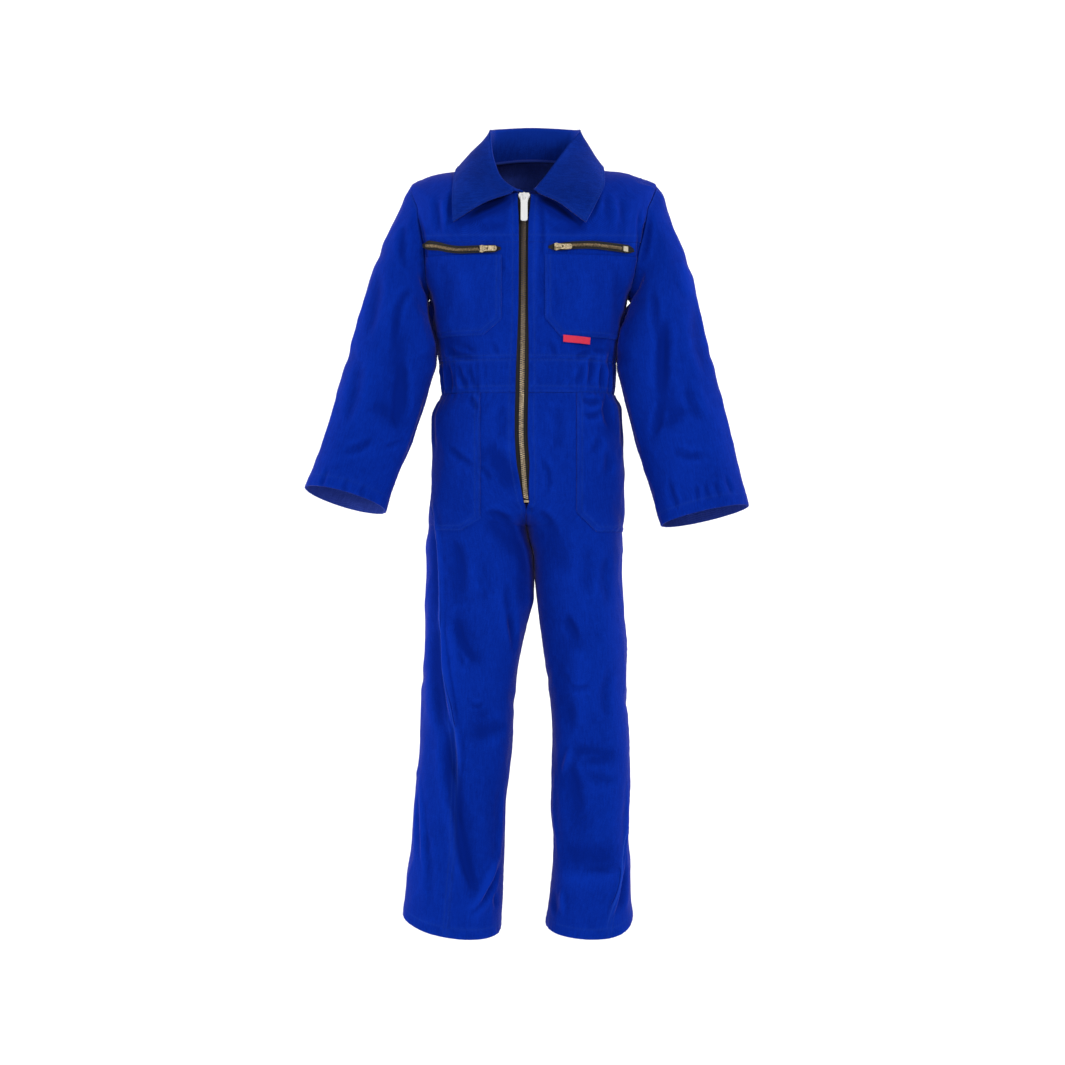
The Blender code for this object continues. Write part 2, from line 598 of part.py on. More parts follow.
def make_trousers(look):
    thick = np.where(np.array(TROUSER_ROWS) > LEG_HEM, HEM_WALL, WALL)
    for side, word in SIDES:
        centre, seam, back = centre_edge(side), side_seam(side), back_centre_edge(side)
        cloth = folded(leg(side))
        panel(f"trouser_front_{word}", cloth, TROUSER_ROWS, (centre, seam), 11, look, thick)
        panel(f"trouser_back_{word}", cloth, TROUSER_ROWS, (seam, back), 9, look, thick)


def make_sleeves(look):
    for side, word in SIDES:
        along = np.array(SLEEVE_ROWS[side], float)[:, None]
        turn = np.linspace(0, TURN, SLEEVE_SIDES, endpoint=False)[None, :]
        along, turn = np.broadcast_arrays(along, turn)
        cloth = folded(sleeve(side), "sleeve", -side)
        outer, outward = cloth(along, turn), normals(cloth, along, turn, -side)
        outward[0] = armhole_outward(side, outer[0])
        wall = np.where(along[:, :1] > along[-1, 0] - CUFF, HEM_WALL, WALL)[..., None]
        closed_grid(f"sleeve_{word}", outer, outer - outward * wall, look, around=True)


def armhole_outward(side, points):
    """Directions square to the sleeve where it is sewn in, so that its wall stays clear of the body."""
    axis = np.array([side * 0.93, 0, -0.37])
    arm = points - points.mean(axis=0)
    arm = arm - np.outer(arm @ axis, axis) / (axis @ axis)
    return arm / np.linalg.norm(arm, axis=1, keepdims=True)


def collar_middle(station, share):
    """The middle of the collar's cloth: share 0 is its foot, 1 is the free edge."""
    at = {column: read(COLLAR, column, station, "station") for column in COLLAR if column != "station"}
    point = {part: np.stack([at[part + "_x"], at[part + "_y"], -at[part + "_down"]], -1)
             for part in ("roll", "mid", "edge")}
    angle = np.radians(at["angle"])
    neck = np.full_like(angle, ZIP_TOP + 0.3)
    foot = body(neck, angle) + normals(body, neck, angle) * COLLAR_LIFT
    outward = point["mid"] - point["roll"]
    outward = outward / np.linalg.norm(outward, axis=-1, keepdims=True)
    roll_in, roll_out = point["roll"] - outward * COLLAR_ROLL, point["roll"] + outward * COLLAR_ROLL
    drop = np.array([0, 0, 1.4])
    route = [foot, foot + (roll_in - foot) * 0.5, roll_in - drop, point["roll"], roll_out - drop,
             point["mid"], point["edge"]]
    marks = np.array([0, 0.2, 0.4, 0.45, 0.5, 0.76, 1.0])
    lines = np.stack(route, -2)
    return np.stack([np.stack([smooth(share, marks, line[:, axis]) for axis in range(3)], -1)
                     for line in lines])


def make_collar(look):
    middle = collar_middle(np.linspace(0, 10, COLLAR_COLUMNS), np.array(COLLAR_ROWS))
    outward = np.cross(np.gradient(middle, axis=1), np.gradient(middle, axis=0))
    outward /= np.linalg.norm(outward, axis=-1, keepdims=True)
    half = outward * COLLAR_WALL / 2
    closed_grid("collar", middle + half, middle - half, look)


def pocket_rows(shape, top, panel_rows):
    """The rows of the panel under a pocket, and two more where its corner is cut off."""
    chamfer, bottom = shape["chamfer"], shape["bottom"]
    between = [row for row in panel_rows if top + 3 < row < chamfer - 3]
    return [top, *between, chamfer, (chamfer + bottom) / 2, bottom]


def make_chest_pockets(look):
    for side, word in SIDES:
        shape = CHEST_POCKETS[side]
        rows = pocket_rows(shape, CHEST_POCKET_TOP, FRONT_ROWS)
        edges = pocket_edge(shape, body_angle), front_edge(side, POCKET_INSET, POCKET_SIDE)
        panel(f"chest_pocket_{word}", folded(body), rows, edges, 8, look, PATCH_WALL, PATCH_LIFT)


def make_hip_pockets(look):
    for side, word in SIDES:
        shape, seam = HIP_POCKETS[side], side_seam(side, POCKET_INSET)
        rows = pocket_rows(shape, HIP_POCKET_TOP, TROUSER_ROWS)
        edges = pocket_edge(shape, lambda down, x: leg_angle(side, down, x)), seam
        panel(f"hip_pocket_{word}", folded(leg(side)), rows, edges, 8, look, PATCH_WALL, PATCH_LIFT)


def make_label(look):
    start, end = LABEL["x"]
    middle = LABEL["top"] + LABEL["height"] / 2

    def level(x):
        return middle + LABEL["tilt"] * (x - start) / (end - start)

    lift = PATCH_LIFT + SEAM_GAP + LABEL_WALL
    strip("label", LABEL["x"], level, LABEL["height"] / 2, 4, look, LABEL_WALL, lift)


def pocket_edge(shape, ring_angle):
    """The inner edge of a pocket, with its bottom corner cut off."""
    def edge(down):
        share = np.clip((down - shape["chamfer"]) / (shape["bottom"] - shape["chamfer"]), 0, 1)
        return ring_angle(down, shape["inner"] + (shape["corner"] - shape["inner"]) * share)
    return edge


def strip(name, ends, level, half, columns, look, wall, lift):
    """A band across the chest that follows a line of levels."""
    x = np.linspace(*ends, columns)[None, :]
    down = level(x) + np.array([-half, half])[:, None]
    angle = body_angle(down, x)
    points, outward = body(down, angle), normals(body, down, angle)
    return closed_grid(name, points + outward * lift, points + outward * (lift - wall), look)


def centre_point(down):
    """The suit's face at the middle of the zip."""
    down = np.asarray(down, float)
    x = read(CENTRE, "x", down)
    on_body = body(down, body_angle(down, x))
    on_leg = leg(-1)(down, leg_angle(-1, down, x))
    return np.where((down < WAIST_BOTTOM)[..., None], on_body, on_leg)


def centre_strip(name, rows, from_x, to_x, look, depth, wall):
    """A flat band along the zip's line, between two distances from it and at a depth behind the face."""
    middle = centre_point(rows)[:, None, :]
    offsets = np.array([[from_x, 0, 0], [to_x, 0, 0]])[None]
    front = middle + offsets + [0, depth, 0]
    return closed_grid(name, front, front + [0, wall, 0], look)


def make_main_zip(tape_look, chain_look):
    rows = np.linspace(ZIP_TOP + 1, ZIP_END - 1, ZIP_ROWS)
    for side, word in SIDES:
        ends = sorted([side * (CHAIN_HALF + SEAM_GAP), side * TAPE_HALF])
        centre_strip(f"zip_tape_{word}", rows, *ends, tape_look, TAPE_DEPTH, TAPE_WALL)
    chain_rows = np.linspace(SLIDER_TOP + SLIDER_LENGTH + SEAM_GAP, ZIP_END - 5, ZIP_ROWS)
    centre_strip("zip_chain", chain_rows, -CHAIN_HALF, CHAIN_HALF, chain_look, CHAIN_DEPTH, CHAIN_WALL)
    stop_rows = np.array([ZIP_END - 4.5, ZIP_END - 2])
    centre_strip("zip_stop", stop_rows, -STOP_HALF, STOP_HALF, chain_look, 0.0, TAPE_DEPTH)


def chest_line(side):
    return lambda x: read(CHEST_ZIPS[side], "down", x, "x")


def make_chest_zips(tape_look, chain_look, stop_look):
    for side, word in SIDES:
        strip(f"chest_tape_{word}", CHEST_TAPE[side], chest_line(side), CHEST_TAPE_HALF, 13,
              tape_look, TAPE_WALL, CHEST_TAPE_LIFT)
        strip(f"chest_chain_{word}", CHEST_CHAIN[side], chest_line(side), CHEST_CHAIN_HALF, 11,
              chain_look, CHEST_CHAIN_WALL, CHEST_CHAIN_LIFT)
    strip("chest_stop_left", (CHEST_STOP["from"], CHEST_STOP["to"]), chest_line(1), CHEST_STOP["half"],
          2, stop_look, CHEST_STOP["wall"], CHEST_CHAIN_LIFT + CHEST_STOP["proud"])


def outline_solid(name, outline, thickness, look):
    """A flat outline in X and Y, extruded both ways along Z, in millimetres."""
    made = bmesh.new()
    face = made.faces.new([made.verts.new((x * MM, y * MM, -thickness / 2 * MM)) for x, y in outline])
    top = bmesh.ops.extrude_face_region(made, geom=[face])["geom"]
    moved = [item for item in top if isinstance(item, bmesh.types.BMVert)]
    bmesh.ops.translate(made, vec=(0, 0, thickness * MM), verts=moved)
    bmesh.ops.recalc_face_normals(made, faces=made.faces[:])
    mesh = bpy.data.meshes.new(name)
    made.to_mesh(mesh)
    made.free()
    return place(name, mesh, look)


def make_slider(name, frame, size, look):
    """A zip slider: a tapered body with a hooked crown for the pull. X is across, Y is along."""
    half, end, thickness, sunk = size["width"] / 2, size["length"] / 2, size["thickness"], size["sunk"]
    right = [(half * 0.62, -end), (half * 0.75, -end * 0.2), (half, end * 0.45), (half * 0.8, end)]
    outline = right + [(-x, y) for x, y in reversed(right)]
    plate = outline_solid(name, outline, thickness + sunk, look)
    plate.matrix_world = frame @ Matrix.Translation((0, 0, (thickness - sunk) / 2 * MM))
    rise, bar, low, root = CROWN["rise"], CROWN["bar"], CROWN["clearance"], CROWN["root"]
    foot, tip = -end * 0.8, end * 0.7
    hook = [(foot, -root), (foot, rise), (tip, rise), (tip, low), (tip - bar, low),
            (tip - bar, rise - bar), (foot + bar, rise - bar), (foot + bar, -root)]
    crown = outline_solid(name + "_crown", hook, CROWN["width"], look)
    crown.matrix_world = frame @ Matrix.Translation((0, 0, thickness * MM)) @ ON_EDGE
    join = plate.modifiers.new("crown", "BOOLEAN")
    join.operation = "UNION"
    join.object = crown
    join.solver = "EXACT"
    crown.hide_render = True
    crown.display_type = "WIRE"
    PARTS.objects.unlink(crown)
    HELPERS.objects.link(crown)


def make_pull(name, pivot, turn, size, look):
    """A flat pull with an eye round the crown; it lies along -Y of its frame from its pivot."""
    half, length, bar = size["width"] / 2, size["length"], PULL_BAR / 2
    eye_half = CROWN["width"] / 2 + EYE_SPARE
    right = [(half * 0.72, bar), (half, -2.5), (half, -length + 1.5), (half - 1.5, -length)]
    outer = right + [(-x, y) for x, y in reversed(right)]
    eye = [(-eye_half, -bar), (-eye_half, -EYE_END), (eye_half, -EYE_END), (eye_half, -bar)]
    curve = bpy.data.curves.new(name, "CURVE")
    curve.dimensions = "2D"
    curve.fill_mode = "BOTH"
    curve.extrude = PULL_BAR / 2 * MM
    for outline in (outer, eye):
        spline = curve.splines.new("POLY")
        spline.points.add(len(outline) - 1)
        for point, (x, y) in zip(spline.points, outline):
            point.co = (x * MM, y * MM, 0, 1)
        spline.use_cyclic_u = True
    curve.materials.append(look)
    made = bpy.data.objects.new(name, curve)
    made.matrix_world = Matrix.Translation(pivot) @ turn @ Matrix.Rotation(math.radians(size["lean"]), 4, "X")
    PARTS.objects.link(made)


def slider_and_pull(names, frame, slider_size, pull_size, look):
    """A slider on its frame, and its pull on the hinge line above it."""
    slider_name, pull_name = names
    make_slider(slider_name, frame, slider_size, look)
    hinge = Vector((0, slider_size["pivot"] * MM, (slider_size["thickness"] + PULL_RISE) * MM))
    make_pull(pull_name, frame @ hinge, frame.to_3x3().to_4x4(), pull_size, look)


def frame_on(point, across, along):
    """A frame at a point, with X and Y along two directions of the face and Z out of it."""
    across, along = Vector(across).normalized(), Vector(along)
    out = across.cross(along).normalized()
    along = out.cross(across)
    turn = Matrix((across, along, out)).transposed().to_4x4()
    return Matrix.Translation(Vector(point) * MM) @ turn


def make_sliders(main_look, chest_look):
    middle = SLIDER_TOP + SLIDER_LENGTH / 2
    point, above, under = centre_point(np.array([middle, middle - 5, middle + SLIDER_REACH]))
    frame = frame_on(point, (1, 0, 0), above - under)
    slider_and_pull(("zip_slider", "pull_main"), frame, MAIN_SLIDER, MAIN_PULL, main_look)
    for side, word in SIDES:
        x = np.array([CHEST_SLIDER_X[side]])
        down = chest_line(side)(x)
        angle = body_angle(down, x)
        outward = normals(body, down, angle)[0]
        point = body(down, angle)[0] + outward * (CHEST_TAPE_LIFT + SEAM_GAP)
        frame = frame_on(point, (0, 0, 1), np.cross(outward, (0, 0, 1)))
        names = f"chest_slider_{word}", f"pull_chest_{word}"
        slider_and_pull(names, frame, CHEST_SLIDER, CHEST_PULL, chest_look)



for old in list(bpy.data.objects):
    bpy.data.objects.remove(old)
PARTS = bpy.data.collections.new("boiler_suit")
HELPERS = bpy.data.collections.new("helpers")
bpy.context.scene.collection.children.link(PARTS)
bpy.context.scene.collection.children.link(HELPERS)

cloth = material("blue_twill", (0.004, 0.026, 0.32), 0.85)
tape = material("black_tape", (0.022, 0.021, 0.024), 0.9)
brass = material("antique_brass", (0.30, 0.24, 0.17), 0.4, 1.0)
silver = material("nickel", (0.75, 0.75, 0.73), 0.25, 1.0)
red = material("red_label", (0.6, 0.03, 0.07), 0.8)

make_bodice(cloth)
make_waistband(cloth)
make_trousers(cloth)
make_sleeves(cloth)
make_collar(cloth)
make_chest_pockets(cloth)
make_hip_pockets(cloth)
make_label(red)
make_main_zip(tape, brass)
make_chest_zips(tape, brass, silver)
make_sliders(silver, brass)
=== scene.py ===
"""Render scene for a child's boiler suit: fine cloth shells on the model's form, with seams, topstitching,
creases and gathers, metal zips, procedural cloth and metal materials, studio, lights and camera.

Lengths are in millimetres until a mesh is made. +X is the wearer's left, the front faces -Y and
+Z is up. Heights are given as "down", the distance below the level of the shoulders.
"""
import math
from functools import partial

import bmesh
import bpy
import numpy as np
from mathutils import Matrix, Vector


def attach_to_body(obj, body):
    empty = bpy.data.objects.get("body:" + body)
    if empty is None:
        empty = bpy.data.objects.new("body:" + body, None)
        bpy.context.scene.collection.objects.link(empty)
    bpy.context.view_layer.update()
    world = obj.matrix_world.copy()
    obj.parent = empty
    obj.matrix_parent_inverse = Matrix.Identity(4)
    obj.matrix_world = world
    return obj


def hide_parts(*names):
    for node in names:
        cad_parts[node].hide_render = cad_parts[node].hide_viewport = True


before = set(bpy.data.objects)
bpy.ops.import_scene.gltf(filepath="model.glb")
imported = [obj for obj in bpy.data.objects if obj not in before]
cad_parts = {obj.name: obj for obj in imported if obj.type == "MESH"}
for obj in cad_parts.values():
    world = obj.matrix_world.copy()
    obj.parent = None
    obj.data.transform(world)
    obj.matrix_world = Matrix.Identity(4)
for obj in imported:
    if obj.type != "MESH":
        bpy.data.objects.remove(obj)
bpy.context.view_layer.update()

MM = 0.001                # one millimetre in Blender's metres
WALL = 1.4                # cloth, with its seam allowances
HEM_WALL = 2.2            # cloth folded twice at a cuff or a leg hem
COLLAR_WALL = 1.8         # two layers and a stiffener
SEAM_GAP = 0.1            # between two sewn pieces
PATCH_WALL = 1.2          # patch pockets that lie on a panel
PATCH_GAP = 1.0           # under a pocket, which does not lie tight on the panel
LABEL_WALL = 0.8

# Levels of the seams that run across the suit.
YOKE_SEAM = 84.5
WAIST_TOP = 214.0
WAIST_BOTTOM = 251.0
HEM = 852.0               # the mean level of a leg's hem
SHOULDER_TIP = 59.0       # ring of BODY on which the top of the armhole lies
UNDERARM = 138.0

# Main zip.
ZIP_TOP = 27.0
ZIP_END = 376.0
CHAIN_HALF = 3.1
CHAIN_DEPTH = 0.3         # from the suit's face to the chain's
CHAIN_WALL = 2.4
TAPE_HALF = 10.5          # from the middle of the chain to the tape's hidden edge
TAPE_WALL = 0.8
TAPE_DEPTH = 2.7          # from the suit's face to the tape behind the front edges
SLIDER_LENGTH = 11.0

SLIDER_TOP = ZIP_TOP + 0.6

SHOULDER_ROUND = 1.9      # power of the shoulder's roundness from front to back
SHOULDER_SEAM = math.radians(86)
SIDE = math.radians(90)
TURN = math.radians(360)
SIDES = ((-1, "right"), (1, "left"))


def table(text):
    """A dictionary from each column's name, in the first line, to the numbers under it."""
    names, *lines = text.strip().splitlines()
    rows = [line.partition("#")[0].split() for line in lines]
    return dict(zip(names.split(), np.array([row for row in rows if row], float).T))


def smooth(at, keys, values):
    """Monotone cubic curve through (keys, values), read at any array of places."""
    step = np.diff(keys)
    slope = np.diff(values) / step
    bend = np.zeros(len(keys))
    bend[0], bend[-1] = slope[0], slope[-1]
    for i in range(1, len(keys) - 1):
        if slope[i - 1] * slope[i] > 0:
            before, after = 2 * step[i] + step[i - 1], step[i] + 2 * step[i - 1]
            bend[i] = (before + after) / (before / slope[i - 1] + after / slope[i])
    at = np.clip(at, keys[0], keys[-1])
    i = np.clip(np.searchsorted(keys, at) - 1, 0, len(step) - 1)
    t = (at - keys[i]) / step[i]
    return ((1 + 2 * t) * (1 - t) ** 2 * values[i] + t * (1 - t) ** 2 * step[i] * bend[i]
            + t * t * (3 - 2 * t) * values[i + 1] + t * t * (t - 1) * step[i] * bend[i + 1])


def read(source, column, at, key="down"):
    return smooth(at, source[key], source[column])


def ease(t):
    """0 to 1 with a soft start and end."""
    t = np.clip(t, 0, 1)
    return t * t * (3 - 2 * t)


def bell(distance, width):
    """1 at no distance, fading out over about a width."""
    return np.exp(-(distance / width) ** 2)


def unit(vectors):
    return vectors / np.maximum(np.linalg.norm(vectors, axis=-1, keepdims=True), 1e-9)


def at_down(x, y, down):
    """Points from their x, their y and how far down they are."""
    return np.stack(np.broadcast_arrays(x, y, -down), -1)


def seen_flat(points):
    """Points as x and down, as they are seen from the front."""
    return np.stack([points[..., 0], -points[..., 2]], -1)


# The bodice as rings from the neck to the waist. "down" is the ring's level at the front centre;
# side_down and back_down are its levels at the shoulder line and at the back centre.
BODY = table("""
    down side_down back_down half front back centre_x power
    27.0 -15 -26 57 63 46 3.5 2.20  # neck seam
    32.0 -8 -19 79 67.5 60 4.0 2.20
    40.0 -5 -9 104 73 71 5.0 2.25
    49.0 2 7 126 77.5 78 5.0 2.30
    59.0 9.5 28 141 81 82 4.0 2.35  # shoulder tips
    71.0 32 54 144 84 85 3.0 2.40
    84.5 79 84.5 137 86 87 2.0 2.40  # yoke seam
    100.0 98 100 132 87 88 1.0 2.40
    118.0 117 118 125 87 88 0.0 2.40
    138.0 138 138 113.5 87 87 -1.5 2.40  # underarm
    160.0 160 160 109.5 85 86 -2.5 2.40
    185.0 185 185 105 83 84 -3.5 2.40
    214.0 214 214 101.5 79 80 -2.9 2.40  # waistband
    235.0 235 235 100 77 78 -2.3 2.40
    251.0 251 251 99 76 78 -2.3 2.40
""")

# Where the armhole cuts each ring: degrees from the front centre, and from the back centre.
ARMHOLE = table("""
    down angle
    59.0 90
    61.5 80
    65.0 72
    71.0 64.5
    84.5 64.5
    100.0 66
    118.0 71
    130.0 78
    135.5 84
    138.0 90
""")

# The middle of the zip, then the centre seam and the gap between the legs.
CENTRE = table("""
    down x
    27.0 -6.3
    71.0 -7.1
    127.0 -7.3
    182.0 -7.7
    238.0 -8.8
    294.0 -9.7
    338.0 -7.1
    366.0 -4.9
    376.0 -3.8
    393.0 -4.4
    400.0 -4.0
    416.0 -1.2
    430.0 3.2
    457.0 4.9
    483.0 6.3
    900.0 6.3
""")

# The trousers: right leg (-1) and left leg (+1). Above the crotch "inner" is where the ring would
# end if the other leg did not stop it at the centre seam. "seam_in" is how far the side seam has
# turned to the front from the leg's outer edge.
LEG_DEPTHS = table("""
    down front back power
    251 76 78 2.40
    268 80 84 2.35
    300 80 88 2.30
    340 79 90 2.25
    380 75 87 2.20
    400 72 82 2.15
    430 68 78 2.15
    483 65 72 2.15
    560 60 64 2.15
    650 55 58 2.15
    750 52 54 2.15
    852 51 52 2.15
""")
LEGS = {
    -1: table("""
    down outer inner seam_in
    251 -101.3 96.7 0
    257 -103.2 99.5 0
    265 -107.4 107 0
    275 -111 107.3 0
    290 -111 107.5 0
    320 -110.4 103 0
    340 -110.4 88 0
    360 -112 62 1
    376 -114.5 36 3
    386 -115.3 18 6
    393 -116 5 8
    397 -116.3 -1 9
    400 -116.5 -4.3 9.5
    416 -117.6 -2.2 12
    430 -118.3 2.2 13.5
    457 -118.5 4.1 16
    483 -119.6 4.6 18
    501 -119.6 0 19
    538 -120.8 -9.2 21
    575 -123.1 -15 29
    612 -125.4 -18.4 38
    649 -126.5 -19.6 43
    685 -130 -24.2 47
    722 -133.4 -28.8 50
    759 -135.7 -29.9 52
    796 -140.3 -29.9 53
    833 -143.8 -32.2 53
    852 -145.5 -33.5 53
"""),
    1: table("""
    down outer inner seam_in
    251 96.7 -101.3 0
    257 99 -104 0
    266 103.2 -109 0
    290 104.6 -110.5 0
    320 105 -110 0
    340 106.3 -96 0
    360 106.5 -70 0
    376 106.8 -44 0
    386 107 -26 0
    393 107 -13 0
    397 106.8 -7 0
    400 106.6 -3.7 0
    416 106 -0.4 0
    430 105.8 4.2 0
    457 105.8 5.8 0
    483 107 8.1 0
    501 108.1 10.4 0
    538 111.6 15 0
    575 110.4 20.7 0
    612 111.6 24.2 0
    649 113.9 25.3 0
    685 115 24.2 0
    722 113.9 24.2 0
    759 112.7 27.6 5
    796 115 25.3 13
    833 116.2 20.7 27
    852 118.5 18.4 33
"""),
}
# How much lower than HEM a leg's hem hangs at its inner edge, its front and its back, and how far
# its lowest point lies towards the outer side.
HEM_WAVE = {-1: {"inner": 8.0, "front": 13.5, "back": -2.0, "skew": 0.0},
            1: {"inner": 4.5, "front": 15.0, "back": -2.0, "skew": 0.35}}
HEM_WAVE_START = 760.0

# The sleeves: the outer and inner ends of each ring, its middle in Y and half its depth.
SLEEVES = {
    -1: table("""
    along outer_x outer_down inner_x inner_down mid_y half_depth
    0 -137 10 -115 138 0 45
    12 -150 21 -113.4 147 -2 46
    35 -162 47 -110.6 157 -6 46
    62 -171 76 -111.2 168 -13 45
    98 -180.8 113 -107.6 184 -21 44
    145 -193.5 158 -104.4 206 -25 43
    195 -206.5 207 -111.5 238 -27 41
    255 -223 262 -130 294 -30 39
    310 -239.5 318 -149.5 340 -34 37
    350 -254.5 358 -163 383.5 -38 37
"""),
    1: table("""
    along outer_x outer_down inner_x inner_down mid_y half_depth
    0 145 11 112 138 0 45
    12 159.5 24 113.5 146 -2 46
    35 169.5 50 109.5 157 -6 46
    62 177.5 80 105.4 168 -13 45
    98 184.5 118 100.6 184 -21 44
    145 194.8 160 98.4 208 -25 43
    195 206 209 104 238 -27 41
    255 220.5 265 117.5 296 -30 40
    315 234 322 135 356 -35 39
    370 247.5 378 148.5 400 -40 38
"""),
}
# How far from the armhole a sleeve takes its own oval shape, under the arm and over it.
SLEEVE_BLEND = (22.0, 110.0)
# How far a cuff's front edge is raised, as a share of its half depth.
CUFF_TILT = {-1: 0.26, 1: 0.18}

# The collar from its right front end, round the back of the neck, to its left front end:
# the angle of its foot on the neck seam, the top of the roll, the middle of the fall and its edge.
COLLAR = table("""
    station angle roll_x roll_y roll_down mid_x mid_y mid_down edge_x edge_y edge_down
    0 -11 -17.5 -68 24.0 -50 -76.5 39.0 -85.7 -76 61.0
    1 -35 -34 -58 8 -58 -65 18 -87.3 -65.5 35
    2 -62 -44.5 -29 -29 -71 -39 -8 -86.5 -46 12
    3 -90 -46 -3 -53 -67 -4 -28 -82.0 -7 -10.5
    4 -125 -41 28 -60 -56 38 -34 -66 44 -13
    5 -180 4 44 -65 4 58 -44 4 67 -20
    6 -235 50 28 -60 64 38 -34 75 44 -13
    7 -270 57.5 -3 -54 72 -4 -28 83.5 -7 -10.5
    8 -298 42 -28 -31 70 -39 -8 84.5 -48 12
    9 -325 21.5 -54 1 50 -65 18 75 -72 38
    10 -349 6 -68 23.0 31 -76 38.5 62.5 -83.5 62.8
""")
COLLAR_LIFT = 1.6         # from the body to the middle of the collar's foot
COLLAR_ROLL = 1.7         # half the width of the rolled fold

# Patch pockets: the inner edge and where its chamfer starts and ends.
CHEST_POCKETS = {
    -1: {"inner": -31.3, "chamfer": 170.0, "corner": -52.3, "bottom": 187.6},
    1: {"inner": 16.8, "chamfer": 168.7, "corner": 34.6, "bottom": 189.0},
}
HIP_POCKETS = {
    -1: {"inner": -55.5, "chamfer": 392.6, "corner": -76.7, "bottom": 405.5},
    1: {"inner": 52.0, "chamfer": 385.0, "corner": 74.5, "bottom": 407.0},
}
CHEST_POCKET_TOP = 98.5
HIP_POCKET_TOP = WAIST_BOTTOM + 0.05
PATCH_LIFT = PATCH_GAP + PATCH_WALL   # from the panel under a pocket to the pocket's face
POCKET_INSET = math.radians(1.8)      # from the armhole or the side seam
POCKET_SIDE = math.radians(76)        # where a chest pocket ends under the arm

# Chest pocket zips: the line of the chain from the centre outwards.
CHEST_ZIPS = {
    -1: table("""
    x down
    -122 86.5
    -105 88.0
    -85 92.0
    -75 92.8
    -55 92.4
    -30 92.0
"""),
    1: table("""
    x down
    14 90.5
    31 90.2
    48 88.4
    68 87.8
    89 89.3
    118 91.6
"""),
}
CHEST_TAPE = {-1: (-120.0, -32.2), 1: (20.5, 117.0)}       # from end to end in X
CHEST_CHAIN = {-1: (-116.5, -55.9), 1: (36.9, 102.5)}
CHEST_TAPE_SHOWN = 4.2    # from the middle of the chain to the tape's edge
CHEST_TAPE_LIFT = PATCH_GAP + TAPE_WALL                    # from the suit's face to the tape's
CHEST_CHAIN_WALL = 1.2
CHEST_CHAIN_LIFT = CHEST_TAPE_LIFT + CHEST_CHAIN_WALL + SEAM_GAP

# The label's ends in X, the level of its top, its height and how far its outer end drops.
LABEL = {"x": (36.9, 66.8), "top": 187.0, "height": 7.8, "tilt": 2.2}

# The largest folds: lines on the cloth, each a soft trough (height below 0) or ridge, with how far
# to its side it fades out. "front" is 1 on the front of the suit and -1 on its back.
FOLDS = {
    "trunk": table("""
    front x_from down_from x_to down_to width height
    1 -102 186 -62 205 9 -2.2  # below the right chest pocket
    1 50 203 88 190 9 -2.2  # below the left chest pocket
    1 -52 310 -22 360 12 -2.6  # from the right hip pocket to the zip's end
    1 84 262 90 300 13 -1.8  # on the left hip pocket
    1 -46 388 -8 440 9 -3.4  # right inner thigh
    1 -8 440 -8 490 8 -2.4
    1 20 400 38 450 11 -2.2  # left inner thigh
    1 -84 420 -77 488 10 -2.2  # right thigh
    1 -82 500 -58 556 9 -3.0
    1 40 500 54 540 10 -2.4  # left thigh
    1 -80 63 -22 36 8 -1.8  # under the collar
    1 4 35 58 64 8 -1.8
    1 -50 605 -64 640 10 -2.6  # right knee
    1 -91 640 -62 812 9 -4.4  # the long fold down the right shin
    1 -40 782 -64 842 8 3.0
    1 46 650 96 664 9 -2.6  # left knee
    1 45 672 58 750 12 -2.8
    1 36 770 98 776 15 -3.0  # across the left shin, with the ridge under it
    1 30 798 96 802 9 1.4
    -1 -64 90 58 96 22 -2.0  # between the shoulder blades
    -1 -80 190 70 196 14 -3.0  # above the waistband
    -1 -70 378 -20 412 13 -3.0  # under the seat
    -1 70 378 20 412 13 -3.0
    -1 -112 560 -50 600 12 -3.4  # backs of the knees
    -1 -108 640 -52 612 12 -3.0
    -1 44 590 98 562 12 -3.2
    -1 44 612 98 640 12 -3.0
    -1 -80 700 -88 800 13 -3.0
    -1 66 690 72 800 13 -3.0
"""),
    "sleeve": table("""
    front x_from down_from x_to down_to width height
    1 -146 165 -150 285 10 -3.0
    1 -176 262 -142 286 8 -2.4
    1 150 178 152 280 10 -3.0
    1 178 268 142 290 8 -2.4
    -1 -160 190 -186 300 11 -3.0
    -1 -205 262 -150 272 10 -2.8
    -1 160 190 184 300 11 -3.0
    -1 205 262 148 276 10 -2.8
"""),
}
FOLD_PAST = 0.15          # how far a fold runs past its line at each end, as a share of the line
FOLD_END = 0.4            # and over what share it fades out there
# The waistband's elastic: waves round the whole band, from this far beside the zip.
GATHERS = {"waves": 40, "height": 1.0, "start": math.radians(32), "full": math.radians(46),
           "fade": 10.0}


def ring(middle, half, front, back, power, angle):
    """A rounded ring; angle 0 is the front, +90 degrees is +X. Also how far round it turns to Y."""
    across = np.sin(angle)
    reach = np.maximum(1 - np.abs(across) ** power, 0) ** (1 / power)
    return middle + half * across, np.where(np.cos(angle) >= 0, -front, back) * reach, reach


def body(down, angle):
    """A point of the bodice's outer face."""
    at = {column: read(BODY, column, down) for column in BODY if column != "down"}
    x, y, reach = ring(at["centre_x"], at["half"], at["front"], at["back"], at["power"], angle)
    middle = np.where(np.cos(angle) >= 0, down, at["back_down"])
    level = at["side_down"] + (middle - at["side_down"]) * reach ** SHOULDER_ROUND
    return at_down(x, y, level)


def leg_ring(side, down):
    outer, inner = read(LEGS[side], "outer", down), read(LEGS[side], "inner", down)
    return (outer + inner) / 2, np.abs(outer - inner) / 2


